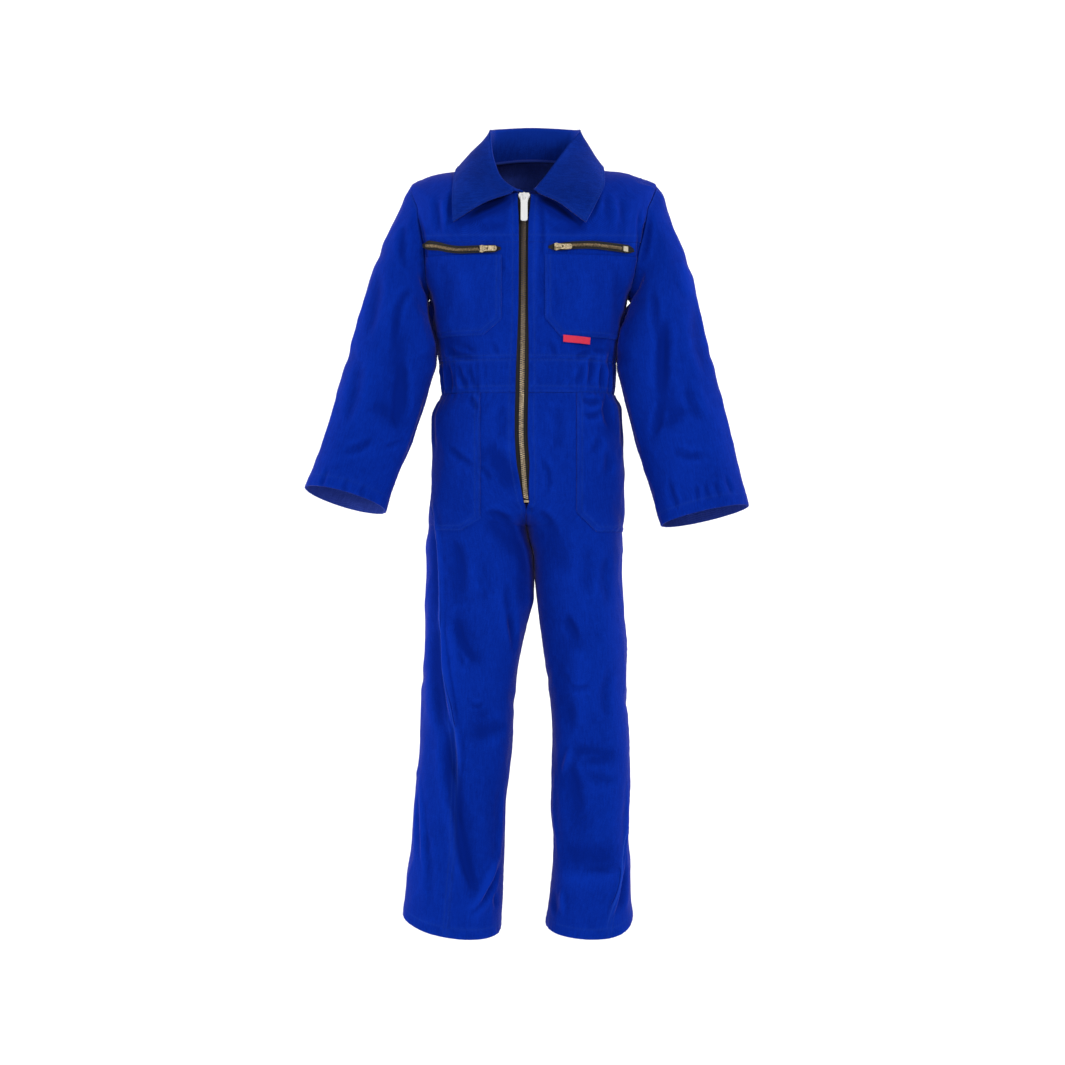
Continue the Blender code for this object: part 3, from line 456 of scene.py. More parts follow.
def leg(side):
    """The outer face of one half of the trousers."""
    wave = HEM_WAVE[side]

    def surface(down, angle):
        middle, half = leg_ring(side, down)
        front, back, power = (read(LEG_DEPTHS, column, down) for column in ("front", "back", "power"))
        x, y, reach = ring(middle, half, front, back, power, angle)
        dip = np.where(np.cos(angle) >= 0, wave["front"], wave["back"]) * reach
        dip = dip * (1 + wave["skew"] * side * np.sin(angle))
        dip = dip - side * np.sin(angle) * wave["inner"]
        level = down + dip * ease((down - HEM_WAVE_START) / (HEM - HEM_WAVE_START))
        return at_down(x, y, level)

    return surface


def armhole_angle(down):
    return np.radians(read(ARMHOLE, "angle", down))


def armhole(side, turn):
    """The armhole's edge: turn 0 is the shoulder tip, 90 degrees the front, 180 the underarm."""
    rows = SHOULDER_TIP + (UNDERARM - SHOULDER_TIP) * ease(np.linspace(0, 1, 80))
    front = body(rows, side * armhole_angle(rows))
    back = body(rows, side * (math.pi - armhole_angle(rows)))
    loop = np.concatenate([front, back[-2::-1]])
    length = np.concatenate([[0], np.cumsum(np.linalg.norm(np.diff(loop, axis=0), axis=1))])
    middle = length[len(front) - 1]
    share = np.where(length <= middle, length / middle, 1 + (length - middle) / (length[-1] - middle)) / 2
    at = np.mod(turn / TURN, 1.0)
    return np.stack([np.interp(at, share, loop[:, axis]) for axis in range(3)], -1)


def sleeve(side):
    """The outer face of a sleeve: from the armhole's loop to an oval tube."""
    shape = SLEEVES[side]

    def end(name, along):
        columns = name + "_x", name + "_down", "mid_y"
        x, down, y = (read(shape, column, along, "along") for column in columns)
        return at_down(x, y, down)

    def surface(along, turn):
        outer, inner = end("outer", along), end("inner", along)
        middle, start = (outer + inner) / 2, (end("outer", 0.0) + end("inner", 0.0)) / 2
        depth = read(shape, "half_depth", along, "along")
        raised = depth * CUFF_TILT[side] * ease(along / shape["along"][-1])
        across = at_down(0.0, -depth, -raised)
        oval = middle + (outer - middle) * np.cos(turn)[..., None] + across * np.sin(turn)[..., None]
        under, over = SLEEVE_BLEND
        blend = ease(along / (under + (over - under) * (1 + np.cos(turn)) / 2))[..., None]
        return (1 - blend) * (armhole(side, turn) + middle - start) + blend * oval

    return surface


def angle_at(middle, half, x):
    """The angle on a ring's front at which it passes x."""
    return np.arcsin(np.clip((x - middle) / half, -1, 1))


def body_angle(down, x):
    return angle_at(read(BODY, "centre_x", down), read(BODY, "half", down), x)


def leg_angle(side, down, x):
    return angle_at(*leg_ring(side, down), x)


# Half the slot that shows the zip: wide at the slider, where the chest bows out and over the belly.
SLOT = table("""
    down half
    27 7.3
    40 7.0
    58 5.6
    90 5.2
    150 5.4
    200 6.6
    240 7.3
    328 7.3
    349 5.3
    366 3.6
    373 3.0
""")
SLOT_EARLY = 2.0          # how far above the zip's end the slot starts to close
SLOT_CLOSES = 6.0         # over what length it closes


def opening_half(down):
    """Half the slot for the zip, which closes to the centre seam below the zip's end."""
    slot = read(SLOT, "half", down)
    return slot + (SEAM_GAP / 2 - slot) * ease((down - ZIP_END + SLOT_EARLY) / SLOT_CLOSES)


NORMAL_STEPS = 0.4, 0.004  # in millimetres down and in radians round


def normals(surface, down, angle, facing=1):
    """Unit normals of a surface, out of the suit."""
    step_down, step_angle = NORMAL_STEPS
    along = surface(down + step_down, angle) - surface(down - step_down, angle)
    around = surface(down, angle + step_angle) - surface(down, angle - step_angle)
    return unit(np.cross(along, around) * facing)


def fold_height(folds, points, front):
    """How far the folds of one side lift the cloth at some points."""
    height = np.zeros(points.shape[:-1])
    place = seen_flat(points)
    for row in np.flatnonzero(folds["front"] == front):
        start = np.array([folds["x_from"][row], folds["down_from"][row]])
        run = np.array([folds["x_to"][row], folds["down_to"][row]]) - start
        share = (place - start) @ run / (run @ run)
        aside = (place - start) @ np.array([-run[1], run[0]]) / np.linalg.norm(run)
        ends = ease((share + FOLD_PAST) / FOLD_END) * ease((1 + FOLD_PAST - share) / FOLD_END)
        height += folds["height"][row] * bell(aside, folds["width"][row]) * ends
    return height


def gather_height(points):
    """The waves of the waistband's elastic, flat again at both of its seams."""
    down = -points[..., 2]
    turn = np.arctan2(points[..., 0], -points[..., 1])
    share = ease((np.abs(turn) - GATHERS["start"]) / (GATHERS["full"] - GATHERS["start"]))
    share = share * ease((down - WAIST_TOP) / GATHERS["fade"])
    share = share * ease((WAIST_BOTTOM - down) / GATHERS["fade"])
    return GATHERS["height"] * share * np.cos(GATHERS["waves"] * turn)


def fixed(angle):
    return lambda down: angle


def zip_edge(side, ring_angle):
    """The edge of the front opening beside the zip."""
    return lambda down: ring_angle(down, read(CENTRE, "x", down) + side * opening_half(down))


def shoulder_or_armhole(down):
    """The outer edge of the front: shoulder seam, armhole, then side seam."""
    seam = SHOULDER_SEAM + (SIDE - SHOULDER_SEAM) * ease((down - 52) / (SHOULDER_TIP - 52))
    return np.where(down <= SHOULDER_TIP, seam, np.where(down < UNDERARM, armhole_angle(down), SIDE))


def back_edge(down):
    """The same edge on the back, measured from the front centre."""
    return np.where(down <= SHOULDER_TIP, shoulder_or_armhole(down), math.pi - shoulder_or_armhole(down))


def front_edge(side, inset=0.0, limit=SIDE):
    """The outer edge of a front, or of what lies on it, on one side of the suit."""
    return lambda down: side * np.minimum(shoulder_or_armhole(down) - inset, limit)


def centre_edge(side):
    """The zip opening and the centre seam, then the inside leg seam."""
    return zip_edge(side, partial(leg_angle, side))


def back_centre_edge(side):
    """The centre back seam, then the inside leg seam, reached round the outside of the leg."""
    def edge(down):
        return side * math.pi - leg_angle(side, down, read(CENTRE, "x", down) + side * SEAM_GAP / 2)
    return edge


def side_seam(side, inset=0.0):
    """The side seam of a leg, or a line beside it on the front."""
    def edge(down):
        outer, turned = read(LEGS[side], "outer", down), read(LEGS[side], "seam_in", down)
        return leg_angle(side, down, outer - side * turned) - side * inset
    return edge


def armhole_outward(side, points):
    """Directions square to the sleeve where it is sewn in, so that its wall stays clear of the body."""
    axis = np.array([side * 0.93, 0, -0.37])
    arm = points - points.mean(axis=0)
    return unit(arm - np.outer(arm @ axis, axis) / (axis @ axis))


def collar_middle(station, share):
    """The middle of the collar's cloth: share 0 is its foot, 1 is the free edge."""
    at = {column: read(COLLAR, column, station, "station") for column in COLLAR if column != "station"}
    point = {part: np.stack([at[part + "_x"], at[part + "_y"], -at[part + "_down"]], -1)
             for part in ("roll", "mid", "edge")}
    angle = np.radians(at["angle"])
    neck = np.full_like(angle, ZIP_TOP + 0.3)
    foot = body(neck, angle) + normals(body, neck, angle) * COLLAR_LIFT
    outward = unit(point["mid"] - point["roll"])
    roll_in, roll_out = point["roll"] - outward * COLLAR_ROLL, point["roll"] + outward * COLLAR_ROLL
    drop = np.array([0, 0, 1.4])
    route = [foot, foot + (roll_in - foot) * 0.5, roll_in - drop, point["roll"], roll_out - drop,
             point["mid"], point["edge"]]
    marks = np.array([0, 0.2, 0.4, 0.45, 0.5, 0.76, 1.0])
    lines = np.stack(route, -2)
    return np.stack([np.stack([smooth(share, marks, line[:, axis]) for axis in range(3)], -1)
                     for line in lines])


def pocket_edge(shape, ring_angle):
    """The inner edge of a pocket, with its bottom corner cut off."""
    def edge(down):
        share = np.clip((down - shape["chamfer"]) / (shape["bottom"] - shape["chamfer"]), 0, 1)
        return ring_angle(down, shape["inner"] + (shape["corner"] - shape["inner"]) * share)
    return edge


def centre_point(down):
    """The suit's face at the middle of the zip."""
    down = np.asarray(down, float)
    x = read(CENTRE, "x", down)
    on_body = body(down, body_angle(down, x))
    on_leg = leg(-1)(down, leg_angle(-1, down, x))
    return np.where((down < WAIST_BOTTOM)[..., None], on_body, on_leg)


def chest_line(side, x):
    """The level of a chest zip."""
    return read(CHEST_ZIPS[side], "down", x, "x")


def on_chest(x, down):
    """Points of the suit's face, with their directions out of it."""
    angle = body_angle(down, x)
    return body(down, angle), normals(body, down, angle)


# ---------------------------------------------------------------- cloth in fine detail
LEG_HEM = 839.0           # below this level the leg's cloth is folded up
CUFF = 13.0               # depth of a cuff's fold
SPACING = 2.85            # between the columns of points of a fine shell
ROW_SPACING = 3.6         # and between its rows
EDGE_STEPS = np.array([0.05, 0.5, 1.1, 1.8, 2.6, 3.4, 4.2, 5.0, 5.8, 6.6, 7.4, 8.4, 9.8, 11.6])
SMALL_EDGE = 0.36         # the most of a narrow piece that the close rows beside an edge may take
THREAD = 0.2              # radius of the sewing thread
STITCH_PITCH = 3.1
STITCH_LENGTH = 2.4
STITCH_DENT = 0.34        # how deep a row of stitches draws the cloth in
STITCH_DENT_HALF = 0.85
PUCKER_REACH = 7.5        # how far the puckers of a sewn edge reach into the cloth
DIP_SHARP, DIP_SOFT = 0.7, 3.0    # how far its dip reaches, in two parts
LIFT_SLOPE = 1.8          # over what width its seam allowance ends

# Creases, listed one by one: a curve through three points, its width and height. "face" is the side of
# the suit that it lies on: 1 front, -1 back, 2 left side, -2 right side. On the sides the first
# number of a point is its Y.
CREASES = {
    "trunk": table("""
    face x1 down1 x2 down2 x3 down3 width height
    # beside the collar and down the chest
    1 -87 22 -88 40 -89 60 5 -0.9
    1 -106 28 -104 50 -101 74 5 -0.8
    1 -97 30 -96 50 -94 72 4 0.6
    1 84 24 88 44 90 68 5 -0.8
    1 102 30 104 52 101 76 5 -0.8
    1 135 50 128 78 123 104 5 -1.6
    1 125 40 122 70 121 100 3 -1.1
    1 -126 52 -121 78 -117 104 4 -1.2
    1 -60 64 -40 66 -24 60 6 -0.7
    1 20 62 40 70 62 66 6 -0.7
    1 12 36 14 70 12 112 3 -1.1
    1 12 108 14 145 12 176 3 -0.6
    1 5 38 6 90 5 160 4 0.6
    1 -21 38 -22 62 -21 84 4 0.6
    1 77 16 73 38 66 60 4 -1.0
    # chest pockets
    1 96 102 97 145 94 186 6 -0.8
    1 -96 104 -92 140 -95 176 7 -0.6
    1 -76 108 -70 132 -74 168 9 0.5
    1 52 108 60 138 56 172 10 0.4
    1 24 120 30 150 28 176 6 -0.35
    1 -31 100 -30 110 -30 126 2.5 -0.9
    # under the pockets, down to the band
    1 -94 196 -83 208 -56 212 4 -1.6
    1 -74 198 -68 203 -61 208 3 -1.0
    1 50 212 60 209 69 204 3.5 -1.2
    1 69 200 80 203 91 201 3.5 -1.2
    1 -46 192 -38 202 -34 213 4 -1.0
    1 20 194 26 204 28 213 4 -0.8
    1 -94 218 -90 234 -92 250 4 -1.7
    1 -82 218 -78 232 -71 247 4 -1.9
    1 -68 218 -66 234 -58 249 4 -1.5
    1 60 218 57 232 50 243 3.5 -1.4
    1 72 206 69 224 65 243 4 -1.6
    1 82 218 80 232 82 247 3.5 -1.4
    1 92 200 91 216 94 234 4 -1.8
    # hips
    1 -67 254 -63 262 -58 271 3.5 -1.4
    1 -92 308 -77 323 -60 334 4 -1.5
    1 -58 332 -50 340 -42 351 3 -1.3
    1 -44 312 -27 334 -14 366 9 -1.3
    1 -34 262 -30 282 -33 306 7 -0.8
    1 11 322 21 342 19 364 3.5 -1.3
    1 58 258 69 262 80 257 4 -1.8
    1 60 274 70 277 80 270 4 -1.6
    1 86 252 85 272 92 290 5 -2.0
    1 79 298 74 309 68 321 5 -1.2
    1 85 315 87 329 84 344 5 -1.2
    1 30 262 34 290 30 318 7 -0.8
    # crotch and thighs
    1 -52 386 -28 392 -17 416 5 -1.5
    1 -19 412 -11 432 -10 456 4.5 -1.4
    1 -7 377 -1 381 6 384 2.5 -1.0
    1 10 384 22 396 30 418 5 -1.4
    1 -88 414 -77 440 -74 476 6 -1.0
    1 -27 461 -23 495 -20 529 5 -1.3
    1 -52 430 -48 460 -50 492 9 -0.8
    1 60 416 66 446 62 480 9 -0.8
    1 88 432 84 460 90 492 6 -1.0
    # knees and shins
    1 -83 501 -77 529 -59 554 5 -1.8
    1 -81 529 -79 543 -74 558 3.5 -1.2
    1 -68 600 -59 602 -51 599 3 -1.2
    1 -60 642 -44 630 -27 630 9 -1.5
    1 -93 626 -88 690 -79 745 7.5 -2.1
    1 -84 712 -76 768 -61 815 6 -2.0
    1 -36 777 -47 799 -62 827 4 1.8
    1 -36 788 -51 822 -70 839 3.5 -1.8
    1 -125 690 -122 745 -118 800 2.8 1.6
    1 -118 740 -114 788 -113 836 5 -0.7
    1 -41 818 -39 828 -38 837 3 -1.0
    1 -108 372 -103 440 -100 520 3.5 1.6
    1 -100 496 -94 572 -83 634 3 2.7
    1 -84 622 -80 655 -82 694 3 1.8
    1 -112 392 -109 450 -108 520 7 -2.0
    1 -107 500 -104 570 -97 640 9 -2.4
    1 40 501 47 515 54 529 5 -1.4
    1 34 520 38 580 40 638 12 -1.0
    1 45 580 56 583 68 578 4 -1.2
    1 47 647 43 664 37 681 4 1.4
    1 46 666 51 696 58 726 6 -0.9
    1 54 661 70 659 85 661 4 1.2
    1 62 679 80 684 98 690 7 -1.0
    1 60 786 78 788 96 785 4 -0.9
    1 79 787 90 791 101 788 2.5 -0.9
    1 36 810 37 826 38 842 3 1.2
    1 28 814 27 828 30 842 4 -1.6
    1 109 786 106 812 101 838 5 -2.2
    1 106 778 100 812 89 846 2.8 1.6
    1 50 632 46 616 48 600 7 -1.0
    1 -24 500 -20 520 -19 545 4 -1.2
    1 92 560 84 590 90 622 6 -1.0
    # the back
    -1 -90 60 -80 92 -84 130 7 -1.2
    -1 88 58 80 94 86 128 7 -1.2
    -1 -50 24 -20 32 8 30 7 -0.9
    -1 14 40 40 34 66 40 7 -0.8
    -1 -66 150 -40 158 -14 154 8 -1.2
    -1 10 164 40 170 72 160 8 -1.2
    -1 -86 176 -70 192 -48 206 6 -1.6
    -1 84 178 66 190 44 208 6 -1.6
    -1 -18 188 -10 200 -14 213 4 -1.0
    -1 24 186 20 200 26 213 4 -1.0
    -1 -78 254 -70 272 -60 290 5 -1.4
    -1 74 253 68 270 54 292 5 -1.4
    -1 -30 253 -26 276 -30 300 6 -1.0
    -1 30 253 28 280 34 304 6 -1.0
    -1 -92 330 -60 352 -24 366 8 -1.4
    -1 88 326 60 348 22 362 8 -1.4
    -1 -98 402 -70 412 -36 408 5 -2.0
    -1 96 400 70 410 34 404 5 -2.0
    -1 -50 430 -36 446 -20 452 5 -1.6
    -1 52 426 38 444 22 450 5 -1.6
    -1 -84 450 -80 480 -86 512 7 -1.2
    -1 78 446 74 480 80 510 7 -1.2
    -1 -110 566 -84 580 -56 572 4 -2.0
    -1 -104 592 -82 604 -50 600 4 -2.2
    -1 -112 622 -86 626 -60 640 5 -1.6
    -1 44 566 66 578 96 568 4 -2.0
    -1 48 596 70 604 100 596 4 -2.2
    -1 50 632 72 624 98 630 5 -1.6
    -1 -66 660 -72 720 -64 780 7 -1.6
    -1 -110 690 -104 740 -112 790 6 -1.4
    -1 54 664 50 716 56 776 7 -1.6
    -1 96 680 92 736 98 790 6 -1.4
    -1 -118 806 -90 814 -58 804 5 -1.6
    -1 40 804 66 812 96 802 5 -1.6
    # the sides
    2 -40 160 -10 172 26 168 9 -0.6
    2 -30 256 -20 282 -26 312 7 -1.2
    2 20 256 26 286 18 318 7 -1.0
    2 -46 376 -10 400 40 384 10 -0.6
    2 -8 420 0 470 -6 520 9 -1.2
    2 18 470 24 520 16 566 7 -1.0
    2 -36 586 -4 604 34 594 8 -0.6
    2 4 660 -4 720 4 780 8 -1.2
    2 -24 690 -20 740 -26 790 6 0.8
    -2 -6 141 -6 154 -8 167 13 2.2
    -2 -28 258 -22 284 -30 314 7 -1.2
    -2 22 256 28 284 22 320 7 -1.0
    -2 -40 388 -6 404 44 390 10 -0.6
    -2 -6 430 4 474 -4 526 9 -1.2
    -2 20 470 26 516 18 560 7 -1.0
    -2 -34 560 -4 576 36 566 8 -0.6
    -2 -4 650 6 720 -6 790 8 -1.4
    -2 -26 680 -20 730 -28 780 6 0.8
"""),
    "sleeve": table("""
    face x1 down1 x2 down2 x3 down3 width height
    1 -132 132 -148 157 -152 202 5 -1.6
    1 -144 213 -142 247 -143 281 6 -2.0
    1 -149 236 -150 265 -149 292 4 -1.2
    1 -163 311 -155 309 -147 304 3 -1.2
    1 -172 110 -174 150 -184 190 7 -1.2
    1 -190 214 -196 250 -206 286 7 -1.2
    1 -176 300 -190 312 -210 316 5 -1.4
    1 -140 60 -144 84 -140 112 5 -1.4
    1 -186 352 -188 364 -190 374 3 -1.0
    1 -204 344 -207 358 -210 370 3 -0.9
    1 -226 334 -230 346 -234 358 3 -0.9
    1 135 50 131 78 126 104 5 -1.6
    1 137 132 141 162 141 192 5 -1.6
    1 152 157 149 208 147 258 7 -2.2
    1 147 258 143 282 138 303 5 -1.8
    1 172 90 177 118 180 146 8 1.2
    1 188 150 190 190 200 232 8 -1.2
    1 176 236 182 262 196 284 6 -1.4
    1 160 312 178 322 202 318 5 -1.4
    1 156 346 160 366 166 382 4 -1.2
    1 186 352 187 364 188 376 3 -1.0
    1 196 350 198 362 201 374 3 -0.9
    1 208 348 210 358 214 370 3 -1.0
    1 219 342 223 354 228 366 3 -0.9
    -1 -150 90 -156 120 -152 152 6 -1.4
    -1 -140 180 -164 196 -190 192 5 -1.8
    -1 -146 218 -170 226 -198 216 4 -2.0
    -1 -152 246 -176 244 -204 254 5 -1.6
    -1 -170 286 -184 312 -192 340 6 -1.2
    -1 -214 290 -222 316 -230 340 6 -1.0
    -1 150 92 156 122 152 152 6 -1.4
    -1 140 184 162 198 190 194 5 -1.8
    -1 144 220 168 228 198 218 4 -2.0
    -1 150 252 174 248 204 258 5 -1.6
    -1 166 292 178 320 184 352 6 -1.2
    -1 206 296 216 322 224 350 6 -1.0
    2 -10 144 -10 154 -10 165 11 1.1
    2 -50 96 -20 104 14 98 9 -0.6
    2 -30 130 -26 170 -30 210 8 -1.0
    2 -60 214 -26 206 6 218 9 -0.6
    2 -36 250 -30 290 -38 330 8 -1.0
    -2 -50 100 -20 92 14 104 9 -0.6
    -2 -28 130 -24 170 -30 208 8 -1.0
    -2 -60 216 -28 208 6 222 9 -0.6
    -2 -38 246 -32 286 -40 322 8 -1.0
"""),
}
CREASE_STEPS = 7          # straight runs along each crease
CREASE_DEPTH = 1.6        # what the heights in CREASES are multiplied by
CREASE_WIDTH = 0.85       # and their widths
CREASE_SHOULDER = 0.42    # how far the cloth stands up beside a crease, as a share of its depth
SHOULDER_AWAY, SHOULDER_WIDTH = 1.9, 0.9    # where it does so, in widths of the crease
CREASE_END = 0.35         # the share of a crease over which each end fades out

# How far each thigh leans towards the other, which closes the gap between them.
THIGHS = table("""
    down lean
    390 0
    395 0.7
    401 1.05
    416 1.05
    430 1.05
    457 1.05
    470 0.75
    490 0
""")

# Fine puckers where the band's elastic draws the cloth in, and how far they reach past the band.
PUCKERS = {"spacing": 8.6, "height": 1.1, "at_seam": 0.6, "reach": 15.0, "start": math.radians(8),
           "full": math.radians(48)}

# Rumpling all over: the size of its lumps in millimetres, their height, and how much they are
# drawn out up and down.
RUMPLES = table("""
    size height tall
    58 1.5 1.8
    27 0.75 1.6
    12 0.26 1.2
""")
RIDGES = {"size": 36.0, "height": 0.95, "tall": 1.8, "narrow": 3.0}


def noise(points, size, seed):
    """Smooth noise from about -1 to 1 with lumps of one size."""
    at = points / size + 50
    cell = np.floor(at)
    inside = at - cell
    blend = inside ** 3 * (inside * (inside * 6 - 15) + 10)
    mixer = np.array([[127.1, 269.5, 419.2], [311.7, 183.3, 371.9], [74.7, 246.1, 124.6]])
    total = np.zeros(points.shape[:-1])
    for corner in np.ndindex(2, 2, 2):
        corner = np.array(corner)
        spun = np.sin((cell + corner) @ mixer + seed) * 43758.5
        slope = 2 * (spun - np.floor(spun)) - 1
        weight = np.where(corner == 1, blend, 1 - blend).prod(-1)
        total += weight * (slope * (inside - corner)).sum(-1)
    return total * 1.5


def crease_height(creases, points, outward):
    """How far the listed creases lift the cloth."""
    height = np.zeros(points.shape[:-1])
    for face in (1, -1, 2, -2):
        toward = -outward[..., 1] * face if abs(face) == 1 else outward[..., 0] * face / 2
        weight = ease((toward - 0.12) * 1.9)
        across = points[..., 0] if abs(face) == 1 else points[..., 1]
        place = np.stack([across, -points[..., 2]], -1)
        for row in np.flatnonzero(creases["face"] == face):
            corners = np.array([[creases[f"x{i}"][row], creases[f"down{i}"][row]] for i in (1, 2, 3)])
            width = creases["width"][row] * CREASE_WIDTH
            low, high = corners.min(0) - 4 * width, corners.max(0) + 4 * width
            near = np.all((place > low) & (place < high), -1) & (weight > 0)
            if near.any():
                height[near] += weight[near] * creases["height"][row] * crease(place[near], corners, width)
    return height * CREASE_DEPTH


def crease(place, corners, width):
    """The section of one crease, from 0 to 1, at places near it."""
    share = np.linspace(0, 1, CREASE_STEPS + 1)[:, None]
    first, middle, last = corners
    bend = 2 * middle - (first + last) / 2
    line = (1 - share) ** 2 * first + 2 * share * (1 - share) * bend + share ** 2 * last
    nearest = np.full(len(place), np.inf)
    along = np.zeros(len(place))
    for step in range(CREASE_STEPS):
        start, run = line[step], line[step + 1] - line[step]
        at = np.clip((place - start) @ run / (run @ run), 0, 1)
        distance = np.linalg.norm(place - start - at[:, None] * run, axis=1)
        along = np.where(distance < nearest, (step + at) / CREASE_STEPS, along)
        nearest = np.minimum(nearest, distance)
    ends = np.sqrt(ease(along / CREASE_END) * ease((1 - along) / CREASE_END))
    aside = nearest / (width * (0.55 + 0.45 * ends))
    return ends * (bell(aside, 1) - CREASE_SHOULDER * bell(aside - SHOULDER_AWAY, SHOULDER_WIDTH))


def pucker_height(points):
    """Uneven upright puckers on the waistband, dying away above and below it."""
    down = -points[..., 2]
    turn = np.arctan2(points[..., 0], -points[..., 1])
    start = ease((np.abs(turn) - PUCKERS["start"]) / (PUCKERS["full"] - PUCKERS["start"]))
    past = np.maximum(np.maximum(WAIST_TOP - down, down - WAIST_BOTTOM), 0)
    middle = 1 - np.abs(down - (WAIST_TOP + WAIST_BOTTOM) / 2) / ((WAIST_BOTTOM - WAIST_TOP) / 2)
    inside = PUCKERS["at_seam"] + (1 - PUCKERS["at_seam"]) * ease(middle * 2)
    reach = np.where(past > 0, PUCKERS["at_seam"] * np.exp(-past / PUCKERS["reach"]), inside)
    phase = turn * 92 / PUCKERS["spacing"] * 2 * math.pi
    lean = 0.5 * np.sin(turn * 9) * (down - WAIST_TOP) / 40
    wave = np.sin(phase + 1.6 * np.sin(turn * 7.3) + 0.9 * np.sin(turn * 17.1 + 1) + lean)
    uneven = 0.62 + 0.38 * np.sin(turn * 23.7 + 0.6) * np.sin(turn * 5.1)
    sharp = wave - 0.35 * np.abs(wave)
    return PUCKERS["height"] * start * reach * uneven * sharp


def rumple_height(points):
    """Soft lumps and thin ridges all over the cloth, drawn out up and down."""
    height = np.zeros(points.shape[:-1])
    for i in range(len(RUMPLES["size"])):
        tall = np.array([1, 1, 1 / RUMPLES["tall"][i]])
        height += RUMPLES["height"][i] * noise(points * tall, RUMPLES["size"][i], 3.1 + i)
    tall = np.array([1, 1, 1 / RIDGES["tall"]])
    waver = 5 * noise(points, 40, 9.0)[..., None]
    lines = noise(points * tall + waver, RIDGES["size"], 5.7)
    where = ease(noise(points, 70, 12.0) * 1.6 + 0.35)
    return height + RIDGES["height"] * where * np.maximum(1 - RIDGES["narrow"] * np.abs(lines), 0) ** 1.5


def thigh_height(points, outward):
    """How far each leg leans on the other below the crotch."""
    down, inner = -points[..., 2], np.abs(outward[..., 0])
    facing = np.sign(read(CENTRE, "x", down) - points[..., 0]) * outward[..., 0] > 0
    return read(THIGHS, "lean", down) * ease(inner * 1.4 - 0.2) * facing


# The free edge of the collar on the chest, and how dark the cloth is below it.
COLLAR_SHADOW = table("""
    x down dark
    -90 66 0
    -82 61 3
    -70 54 8
    -58 47.4 12
    -40 37.5 14
    -30 33 12
    -20 31 5
    -13 30 0
    3 31 1
    12 33 11
    22 37.5 14
    40 50 12
    54 61 6
    66 70 0
""")
SHADOW_REACH = 6.5        # how far below the collar it goes


def collar_shadow(points, outward):
    """How dark the collar leaves the chest under its edge."""
    x, down = points[..., 0], -points[..., 2]
    below = down - read(COLLAR_SHADOW, "down", x, "x")
    dark = read(COLLAR_SHADOW, "dark", x, "x")
    return dark * bell(below, SHADOW_REACH) * (outward[..., 1] < 0)


def form_height(points, outward, part):
    """The height of all the folds and creases of the cloth, and the shade painted into its colour from them.
    """
    front = ease((-outward[..., 1] - 0.2) * 2) * fold_height(FOLDS[part], points, 1)
    back = ease((outward[..., 1] - 0.2) * 2) * fold_height(FOLDS[part], points, -1)
    rumples = rumple_height(points)
    height = front + back + crease_height(CREASES[part], points, outward) + rumples
    # Painted shade: through the fold attribute the colour goes darker in troughs and lighter on ridges, with
    # a painted shadow under the collar.
    shade = height - 0.6 * rumples - collar_shadow(points, outward)
    if part == "sleeve":
        return height, shade
    lean = thigh_height(points, outward)
    waist = gather_height(points) + pucker_height(points)
    return height * (1 - ease(lean)) + waist + lean, shade + waist


def stations(length, middle):
    """Distances along lines: close together near both ends and evenly spread between."""
    length = np.asarray(length, float)[..., None]
    near = EDGE_STEPS * np.minimum(1, SMALL_EDGE * length / EDGE_STEPS[-1])
    share = np.linspace(0, 1, middle + 2)[1:-1]
    between = near[..., -1:] + (length - 2 * near[..., -1:]) * share
    return np.concatenate([near, between, (length - near)[..., ::-1]], -1)


def run_length(points, axis):
    """Distance run along one axis of a grid of points, from its start."""
    step = np.linalg.norm(np.diff(points, axis=axis), axis=-1)
    start = np.zeros_like(np.take(step, [0], axis))
    return np.cumsum(np.concatenate([start, step], axis), axis)


def between_count(length, spacing=SPACING):
    return max(2, round((length - 2 * EDGE_STEPS[-1]) / spacing))


def fine_grid(surface, top, bottom, edges):
    """Levels and angles of closely spaced points over a piece, rows across it from edge to edge."""
    start, end = edges

    def row_angles(down, share):
        first, last = (np.broadcast_to(edge(down), down.shape) for edge in (start, end))
        return first + (last - first) * share

    levels = np.linspace(top, bottom, 260)[:, None]
    coarse = row_angles(levels, np.linspace(0, 1, 17)[None, :])
    path = surface(np.broadcast_to(levels, coarse.shape), coarse)
    step = np.linalg.norm(np.diff(path, axis=0), axis=-1).max(1)
    length = np.concatenate([[0], np.cumsum(step)])
    count = between_count(length[-1], ROW_SPACING)
    rows = np.interp(stations(length[-1], count), length, levels[:, 0])[:, None]

    dense = row_angles(rows, np.linspace(0, 1, 90)[None, :])
    run = run_length(surface(np.broadcast_to(rows, dense.shape), dense), 1)
    columns = stations(run[:, -1], between_count(run[:, -1].max()))
    angle = np.stack([np.interp(at, length, row) for at, length, row in zip(columns, run, dense)])
    return np.broadcast_to(rows, angle.shape), angle


class Edge:
    """How a piece is finished along one edge: how far it dips there, how far its seam allowance
    lifts it, how wide that lift is, at what distances it is stitched, and how pale its edge is painted:
    wear, and on the ridge of a side seam a painted highlight."""

    def __init__(self, dip=0.45, lift=0.0, wide=0.0, stitches=(), pucker=0.25, fade=0.1):
        self.dip, self.lift, self.wide, self.stitches = dip, lift, wide, stitches
        self.pucker, self.fade = pucker, fade

    def height(self, away, along):
        sharp, soft = np.exp(-away / DIP_SHARP), np.exp(-away / DIP_SOFT)
        height = -self.dip * (0.6 * sharp + 0.4 * soft)
        if self.wide:
            height += self.lift * ease((self.wide - away) / LIFT_SLOPE)
        uneven = np.sin(along / 1.35 + 1.4 * np.sin(along / 5.3)) * (0.6 + 0.4 * np.sin(along / 8.7))
        height += self.pucker * bell(away, PUCKER_REACH) * uneven
        for distance in self.stitches:
            height -= STITCH_DENT * bell(away - distance, STITCH_DENT_HALF)
        return height


